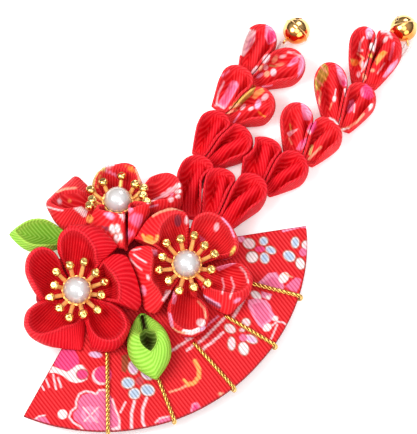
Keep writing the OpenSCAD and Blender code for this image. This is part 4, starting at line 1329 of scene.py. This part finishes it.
def ball(radius, rows, columns):
    # points of a ball by latitude and longitude, from the bottom up
    lat = np.linspace(-math.pi / 2, math.pi / 2, rows + 2)[1:-1, None]
    lon = np.arange(columns)[None] / columns * tau
    return radius * np.stack([np.cos(lat) * np.cos(lon), np.cos(lat) * np.sin(lon), np.sin(lat) + 0 * lon], -1)


def stamenHead(s):
    # a flattened ball with a round dent in its top: z = 0.9 z - dent * e^-(r / width)^2
    head = ball(s["headRadius"], 16, 20)
    r = np.hypot(head[..., 0], head[..., 1])
    dent = np.where(head[..., 2] > 0, s["dent"][0] * np.exp(-((r / s["dent"][1]) ** 2)), 0)
    head[..., 2] = head[..., 2] * 0.90 - dent
    return turned(head, 1, s["tiltHead"])


def makeStamens(kind, flower, seed):
    # each stalk runs straight out and up with a sag of 4t(1 - t); the cup is a bowl of circles,
    # (r sin a cos lon, r sin a sin lon, -r cos a), with a scalloped edge
    s, p = stamenSettings, pearlSettings
    heap = Heap()
    rng = np.random.default_rng(seed)
    turns = s["upperTurns"] if kind == "upper" else s["turns"]
    t = np.linspace(0, 1, 14)
    for i, turn in enumerate(turns):
        reach, headZ, headSize = s["reach"] - s["step"] * (i % 2), s["headZ"], 1
        if kind == "upper" and i >= s["tuckedFrom"]:
            reach, headZ, headSize = s["tucked"]
        aside, rise, further = s["lifted"][kind].get(i, (0, 0, 0))
        turn, headZ, reach = turn + aside, headZ + rise, reach + further
        start = np.array([s["start"][0], 0, s["start"][1]])
        end = np.array([reach, 0, headZ])
        sag = np.array([0, 0, -s["sag"]]) * (4 * t * (1 - t))[:, None]
        wide = s["stalkWide"] + (s["stalkThin"] - s["stalkWide"]) * t + 0.10 * t ** 6
        bend = rng.uniform(-s["bend"], s["bend"])
        points, faces = closedGrid(tube(start + (end - start) * t[:, None] + sag, wide, 12))
        heap.put(turned(points, 2, turn + bend), faces, second=True)
        points, faces = closedGrid(stamenHead(s) * headSize + end)
        heap.put(turned(points, 2, turn + bend), faces)
    inner = p["radius"] + p["cupGap"]
    outer = inner + p["cupWall"]
    lon = np.arange(96) / 96 * tau
    scallop = p["scallop"] * np.abs(np.cos(p["scallops"] / 2 * lon)) - p["scallop"] / 2
    edge = -outer + flower["cup"] + scallop
    share = np.linspace(0, 1, 14)[1:, None]

    def bowl(angle, r):
        fluted = 1 + p["flute"] * (r > inner) * np.cos(p["flutes"] * lon) * np.sin(angle)
        flat = r * fluted * np.sin(angle)
        return np.stack([flat * np.cos(lon), flat * np.sin(lon), -r * np.cos(angle)], -1)

    outside = np.arccos(np.clip(-edge / outer, -1, 1))[None] * share
    inside = np.arccos(np.clip(-edge / inner, -1, 1))[None] * share[::-1]
    points, faces = closedGrid(np.concatenate([bowl(outside, outer), bowl(inside, inner)]))
    heap.put(points + np.array([0, 0, pearlRise]), faces, second=True)
    points, faces = heap.all()
    makePiece(
        f"{kind}FlowerStamens", fromFlower(points, flower), faces, paints["gold"],
        [f"{kind}_flower_stamens"], sharp=60, second=(paints["stalk"], heap.second),
    )


def makePearl(kind, flower, seed):
    # a ball a little out of round: r = R (1 + small waves)
    grid = ball(pearlSettings["radius"], 40, 64)
    d = grid / pearlSettings["radius"]
    wave = 0.004 * np.sin(3 * d[..., 0] + seed) + 0.003 * np.sin(4 * d[..., 1] + 2 * seed) - 0.002
    points, faces = closedGrid(grid * (1 + wave)[..., None] + np.array([0, 0, pearlRise]))
    makePiece(
        f"{kind}FlowerPearl", fromFlower(points, flower), faces, paints["pearl"],
        [f"{kind}_flower_pearl"],
    )


for seed, (kind, flower) in enumerate(flowers.items()):
    makeStamens(kind, flower, 50 + seed)
    makePearl(kind, flower, seed)
print("pearls and stamens ready")

fanSettings = {
    "place": (-30.4, -12.1, 5.7), "radius": 58.4, "from": -114.3, "sweep": 120.5, "thick": 1.2,
    "ribPitch": 1.0, "ribHeight": 0.08, "perRib": 6, "alongSteps": 120, "underSteps": 9, "shade": 0.81,
    # how far the arc stands off its circle, by the way across, and the turn of each straight edge
    "acrossAt": (-51, -40, -25, 15, 35, 50), "arcOff": (0.0, -0.35, -0.5, -0.6, 0.1, 0.6),
    "edgeTurns": (3.2, 3.2), "further": 0.65,
    # darker red along the cut edge and over the underside
    "edgeRed": linear(150, 34, 40), "edgeDrop": 0.12, "edgeSoft": 0.28,
}


def makeFan(s):
    # rows run along the ribs: each is a chord of the sector, from the nearer straight edge
    # or the hub to the arc; ribs stand up as |cos| waves across the rows
    half = math.radians(s["sweep"] / 2)
    widest = s["radius"] * math.sin(half)
    count = int(2 * widest / s["ribPitch"] * s["perRib"])
    q = np.linspace(-widest + 0.02, widest + s["further"], count)[:, None]
    far = np.sqrt((s["radius"] + np.interp(q, s["acrossAt"], s["arcOff"])) ** 2 - q ** 2)
    # a straight edge: corner's p - (corner's q - |q|) * tan(its slope)
    slopes = [math.tan(math.pi / 2 - half - math.radians(v)) for v in s["edgeTurns"]]
    edges = [far[i, 0] - (abs(q[i, 0]) - np.abs(q)) * m for i, m in zip((0, -1), slopes)]
    near = np.minimum(edges[0] + (edges[1] - edges[0]) * blend(-4, 4, q), far - 0.02)
    share = np.linspace(0, 1, s["alongSteps"])[None]
    edgeAway = np.minimum(share * (far - near), (1 - share) * (far - near))
    p = near + (far - near) * share
    rib = np.sqrt(np.abs(np.cos(math.pi * (q / s["ribPitch"] + 0 * p))) + 0.02)
    risen = (s["ribHeight"] * (rib - 0.4) / 0.6) * blend(0, 0.5, edgeAway)
    z = s["thick"] - s["ribHeight"] + risen - s["edgeDrop"] * (1 - blend(0, s["edgeSoft"], edgeAway))
    pUnder = far - (far - near) * np.linspace(0, 1, s["underSteps"])[None]
    under = np.stack([pUnder, q + 0 * pUnder, 0.0 * pUnder], -1)
    loop = np.concatenate([np.stack([p, q + 0 * p, z], -1), under], 1)
    points, faces = closedGrid(loop)
    uv = np.stack([points[:, 1] / s["ribPitch"] + 0.25, points[:, 0]], 1)
    points = turned(points, 2, s["from"] + s["sweep"] / 2) + np.array(s["place"])
    # darker red near the cut edge and on all of the underside
    edge = np.concatenate([(1 - blend(0.1, 0.35, edgeAway)) * np.ones_like(p), np.ones(pUnder.shape)], 1)
    edge = np.concatenate([edge.reshape(-1), [1, 1]])[:, None]
    tints = s["shade"] * printColours(*picturePlace(points), fanPrint) * (1 - edge) + s["edgeRed"] * edge
    makePiece("fanSheet", points, faces, paints["fan"], ["fan"], uv, tints, sharp=50)


makeFan(fanSettings)
print("fan ready")

cordSettings = {
    # direction, start from the fan's centre
    "rows": [(-15.7, 38.5), (-32.4, 41.3), (-50.1, 40), (-70.0, 44), (-89.4, 33.9)],
    "radius": 0.66, "strand": 0.33, "lay": 4.4, "behind": 7.0, "strands": 3, "sides": 8, "spacing": 0.16,
    "gap": 0.08, "edgeGap": 0.10, "bendReach": 0.64,  # mm off the fan's face, off its edge, and round it
    "meetShade": 0.05,           # painted shade in the cord's middle, where the strands meet
    "warmth": (1.0, 1.3, 1.8),  # powers of the painted shade for red, green and blue
}


def makeCord(number, row, s, f):
    # three strands wound about one path that runs over the fan, round its edge and back:
    # centre + (radius - strand) * (cos w * side + sin w * up), w growing with the way gone
    leg = f["thick"] / 2 + s["gap"] + s["radius"]
    across = f["radius"] * math.sin(math.radians(row[0] - f["from"] - f["sweep"] / 2))
    edge = f["radius"] + np.interp(across, f["acrossAt"], f["arcOff"]) + s["edgeGap"]
    turnRound = np.linspace(math.pi / 2, -math.pi / 2, 24)
    over = np.stack([np.linspace(row[1], edge, 90), np.full(90, leg)], 1)
    bend = np.stack([edge + s["bendReach"] * np.cos(turnRound), leg * np.sin(turnRound)], 1)[1:-1]
    back = np.stack([np.linspace(edge, edge - s["behind"], 18), np.full(18, -leg)], 1)
    route = np.concatenate([over, bend, back])
    walk = evenWalk(route, passes=4, spacing=s["spacing"])
    path = np.stack([walk[:, 0], 0 * walk[:, 0], walk[:, 1]], 1)
    at = np.linspace(0, wayGone(route)[-1], len(path))
    ahead = np.gradient(path, axis=0)
    ahead /= np.linalg.norm(ahead, axis=1)[:, None]
    side = np.array([0.0, 1, 0])[None] + 0 * ahead
    up = np.cross(ahead, side)
    heap = Heap()
    shades = []
    for k in range(s["strands"]):
        w = tau * (at / s["lay"] + k / s["strands"])
        middle = path + (s["radius"] - s["strand"]) * (np.cos(w)[:, None] * side + np.sin(w)[:, None] * up)
        grid = tube(middle, s["strand"], s["sides"])
        heap.put(*closedGrid(grid))
        # painted shade, darker towards the cord's middle where the strands meet
        away = np.linalg.norm(grid - path[:, None], axis=2).reshape(-1)
        shade = s["meetShade"] + (1 - s["meetShade"]) * blend(0.36, 0.60, away)
        shades.append(np.concatenate([shade, [0.3, 0.3]]))
    points, faces = heap.all()
    tints = np.repeat(np.concatenate(shades)[:, None], 3, 1) ** np.array(s["warmth"])
    points = turned(points, 2, row[0]) + np.array(f["place"]) + np.array([0, 0, f["thick"] / 2])
    makePiece(
        f"goldCord{number}", points, faces, paints["cord"], [f"gold_cord_{number}"], tints=tints,
    )


for i, row in enumerate(cordSettings["rows"]):
    makeCord(i + 1, row, cordSettings, fanSettings)
print("gold cords ready")

bellSettings = {
    "radius": 4.0, "wall": 0.5, "bandReach": 4.25, "bandWide": 0.7,
    "slot": 0.9, "slotFrom": 1.6, "slotTurn": 62,
    "rows": 44, "columns": 48, "redReflection": (1.0, 0.50, 0.24),  # the painted reflection of the red ribbon, where the bell faces it
    "ringX": 4.65, "ringRadius": 0.85, "ringWire": 0.3, "z": 4.25,
    "places": {"left": ((25.5, 57.6), 46), "right": ((57.2, 58.4), 103)},
}


def makeBell(name, place, turn, s):
    # a ball about the X axis with a narrow step at its middle for the band; beyond slotFrom
    # the points nearest the slot's plane move to its edges and no face spans it; Solidify
    # gives the sheet its thickness
    rows, columns = s["rows"], s["columns"]
    half = columns // 2
    angle = np.linspace(0.03, math.pi - 0.03, rows)[:, None]
    away = s["radius"] * np.cos(angle)
    slotRow = int(np.argmin(abs(away[:, 0] - s["slotFrom"])))
    lon = (np.arange(columns) + 0.5) / columns * tau
    band = blend(s["bandWide"] / 2 + 0.12, s["bandWide"] / 2 - 0.08, abs(away))
    r = s["radius"] + (s["bandReach"] - s["radius"]) * band
    rho = r * np.sin(angle)
    x = r * np.cos(angle) + 0 * lon
    y, z = rho * np.cos(lon), rho * np.sin(lon)
    edge = s["slot"] / 2
    push = (np.arange(rows)[:, None] <= slotRow) & (abs(z) < edge)
    y = np.where(push, np.sign(y) * np.sqrt(np.maximum(rho ** 2 - edge ** 2, 0)), y)
    z = np.where(push, np.sign(z) * edge, z)
    quads = gridFaces(rows, columns, flip=True)
    row, column = quads.min(1) // columns, quads % columns
    spans = np.zeros(len(quads), bool)
    for one, other in ((half - 1, half), (0, columns - 1)):
        spans |= (column == one).any(1) & (column == other).any(1) & (row < slotRow)
    pole = fanFaces(np.arange(columns) + (rows - 1) * columns, rows * columns, flip=True)
    points = np.concatenate([np.stack([x, y, z], -1).reshape(-1, 3), [[-s["radius"], 0, 0]]])
    points = turned(turned(points, 0, s["slotTurn"]), 2, turn)
    # a painted reflection of the red ribbon on the side that faces it
    redReflection = blend(-0.2, 0.8, -(0.9 * points[:, 1] + 0.2 * points[:, 2]) / s["radius"])[:, None]
    tints = 1 - redReflection * (1 - np.array(s["redReflection"]))
    middle = np.array([*place, s["z"]])
    bell = makePiece(
        f"{name}Bell", points + middle, [quads[~spans], pole], paints["bell"], [f"{name}_bell"],
        sharp=40, tints=tints,
    )
    wall = bell.modifiers.new("sheet", "SOLIDIFY")
    wall.thickness = s["wall"] / 1000
    wall.offset = -1
    # the ring: a round wire, its circle about the Y axis
    t = np.arange(40)[:, None] / 40 * tau
    section = np.arange(12)[None] / 12 * tau
    reach = s["ringRadius"] + s["ringWire"] * np.cos(section)
    aside = s["ringWire"] * np.sin(section) + 0 * t
    ring = np.stack([reach * np.cos(t) - s["ringX"], aside, reach * np.sin(t)], -1)
    points = turned(ring.reshape(-1, 3), 2, turn) + middle
    makePiece(f"{name}BellRing", points, [gridFaces(40, 12, along=True)], paints["gold"], [])


for name, (place, turn) in bellSettings["places"].items():
    makeBell(name, place, turn, bellSettings)

threadSettings = {
    "radius": 0.4, "section": 0.344, "apart": 0.45, "loop": 0.85, "loopFromBell": 5.5,
    "ply": (2, 4.0, 0.16),  # how many plies, radians of twist to the mm, share of the radius they stand out
    "left": [
        (-12.5, -9, 3.4), (-8.9, -2.2, 3.1), (-6.3, 6.5, 1.3), (-3.5, 16, 0.45), (3, 30.6, 0.45),
        (9.9, 42.2, 0.45), (14.9, 46.3, 0.45), (18.6, 49.5, 0.6),
    ],
    "right": [
        (-1.5, -9, 3.4), (0.8, -4.2, 3.1), (6.2, 0.8, 1.4), (13.8, 7.2, 0.45), (26, 15.7, 0.45),
        (37.1, 25.8, 0.45), (44.2, 39.1, 0.45), (50.5, 45, 0.45), (55, 49, 0.6),
    ],
}


def makeThread(name, s, b):
    # out along one side of the route, half round the bell's ring, and back along the other
    route = np.array(s[name], float)
    place, turn = b["places"][name]
    ahead = np.array([math.cos(math.radians(turn)), math.sin(math.radians(turn)), 0])
    left = np.array([-ahead[1], ahead[0], 0])
    centre = np.array([*place, b["z"]]) - s["loopFromBell"] * ahead
    step = np.gradient(route, axis=0)
    step[:, 2] = 0
    step /= np.linalg.norm(step, axis=1)[:, None]
    aside = np.stack([-step[:, 1], step[:, 0], 0 * step[:, 0]], 1) * s["apart"]
    t = np.radians(np.arange(90, -91, -30))
    loop = centre + s["loop"] * (np.cos(t)[:, None] * ahead + np.sin(t)[:, None] * left)
    path = evenWalk(np.concatenate([route + aside, loop, (route - aside)[::-1]]), passes=3, spacing=0.3)
    path[:, 2] = np.maximum(path[:, 2], s["radius"])
    points, faces = closedGrid(tube(path, s["section"], 10, s["ply"]))
    makePiece(f"{name}StringThread", points, faces, paints["thread"], [f"{name}_string_thread"])


for name in ("left", "right"):
    makeThread(name, threadSettings, bellSettings)
print("bells and threads ready")

# The felt base behind the flowers, and the clip under it.
feltSettings = {
    "z": 4.0, "thick": 1.5, "centre": (-24, -17), "fuzz": 0.05,
    "discs": [((-38.5, -26.5), 12.6), ((-26.5, -4), 12.8), ((-7.5, -18.5), 13.2), ((-24, -17), 12)],
}


def makeFelt(s):
    # polar outline: the farthest exit of each ray from the discs, softened, then a low
    # pillow of rings with rounded edges and a little fuzz
    n = 240
    t = np.arange(n) / n * tau
    ray = np.stack([np.cos(t), np.sin(t)], 1)
    reach = np.zeros(n)
    for middle, r in s["discs"]:
        to = np.array(middle) - np.array(s["centre"])
        along = ray @ to
        inside = r * r - (to @ to - along ** 2)
        reach = np.maximum(reach, np.where(inside > 0, along + np.sqrt(np.maximum(inside, 0)), 0))
    for _ in range(3):
        reach = np.minimum(reach, (np.roll(reach, 1) + 2 * reach + np.roll(reach, -1)) / 4)
    reach = reach + np.random.default_rng(7).normal(0, s["fuzz"], n) - 0.1
    across = [0.03, 0.3, 0.6, 0.85, 0.97]
    rim = [(0.992, 0.15), (1.0, 0.45), (1.0, 0.75), (0.992, 1.0)]
    rings = [(v, 0.0) for v in across] + rim + [(v, 1.0) for v in across[::-1]]
    grid = np.stack([
        np.stack([
            s["centre"][0] + reach * v * ray[:, 0], s["centre"][1] + reach * v * ray[:, 1],
            np.full(n, s["z"] + h * s["thick"]),
        ], -1)
        for v, h in rings
    ])
    points, faces = closedGrid(grid)
    makePiece("feltBase", points, faces, paints["felt"], ["felt_base"], sharp=60)


makeFelt(feltSettings)
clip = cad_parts["hair_clip"]
for place in clip.material_slots:
    place.material = paints["steel"]
if not clip.material_slots:
    clip.data.materials.append(paints["steel"])
print("felt and clip ready")

# The floor, a round sheet: (radius cos t, radius sin t, a little below the part), in metres.
floorSettings = {"radius": 3, "z": -0.0002, "sides": 64}
floorMesh = bpy.data.meshes.new("floor")
t = np.arange(floorSettings["sides"]) / floorSettings["sides"] * tau
x, y = floorSettings["radius"] * np.cos(t), floorSettings["radius"] * np.sin(t)
floorPoints = np.stack([x, y, floorSettings["z"] + 0 * t], 1)
floorMesh.from_pydata(floorPoints.tolist(), [], [list(range(len(t)))])
floorMesh.materials.append(paints["floor"])
floor = bpy.data.objects.new("floor", floorMesh)
bpy.context.scene.collection.objects.link(floor)

lightRows = {
    # place, size, watts, colour; each looks at the object's middle
    "key": ((-0.35, -0.10, 0.55), 0.40, 3.8, (1.0, 0.985, 0.97)),
    "top": ((0.10, -0.30, 0.80), 0.55, 2.3, (1.0, 1.0, 1.0)),
    "front": ((0.30, -0.50, 0.30), 0.45, 1.6, (1.0, 1.0, 1.0)),
    "rear": ((0.25, 0.55, 0.40), 0.35, 1.4, (0.97, 0.98, 1.0)),
}


def makeLight(name, place, size, watts, colour):
    # a round soft light, hidden from the camera, tipped by the angle of its place from upright
    lamp = bpy.data.lights.new(name, "AREA")
    lamp.shape = "DISK"
    lamp.size = size
    lamp.energy = watts
    lamp.color = colour
    light = bpy.data.objects.new(name, lamp)
    bpy.context.scene.collection.objects.link(light)
    x, y, z = light.location = place
    light.rotation_euler = (math.atan2(math.hypot(x, y), z), 0, math.atan2(y, x) + math.pi / 2)
    light.visible_camera = False


for name, row in lightRows.items():
    makeLight(name, *row)

# The world: pale below, dark at the horizon and white above, by the height of the direction.
skyStops = [
    (0.0, (0.55, 0.52, 0.50)), (0.50, (0.10, 0.08, 0.07)), (0.62, (0.22, 0.21, 0.21)),
    (0.82, (0.75, 0.77, 0.80)), (1.0, (1.0, 1.0, 1.0)),
]
skyStrength = 0.62
world = bpy.data.worlds.new("studio")
sky = Paint(world)
direction = sky.add("ShaderNodeTexCoord", output="Generated")
upward = sky.add("ShaderNodeSeparateXYZ", {}, {0: direction}, output="Z")
height = sky.add("ShaderNodeMapRange", {}, {"Value": upward, "From Min": -1})
tone = sky.add("ShaderNodeValToRGB", {"stops": skyStops}, {0: height})
background = sky.add("ShaderNodeBackground", {}, {"Color": tone, "Strength": skyStrength})
sky.add("ShaderNodeOutputWorld", {}, {"Surface": background})
bpy.context.scene.world = world
bpy.context.scene.view_settings.view_transform = "Standard"
print("floor and lights ready")
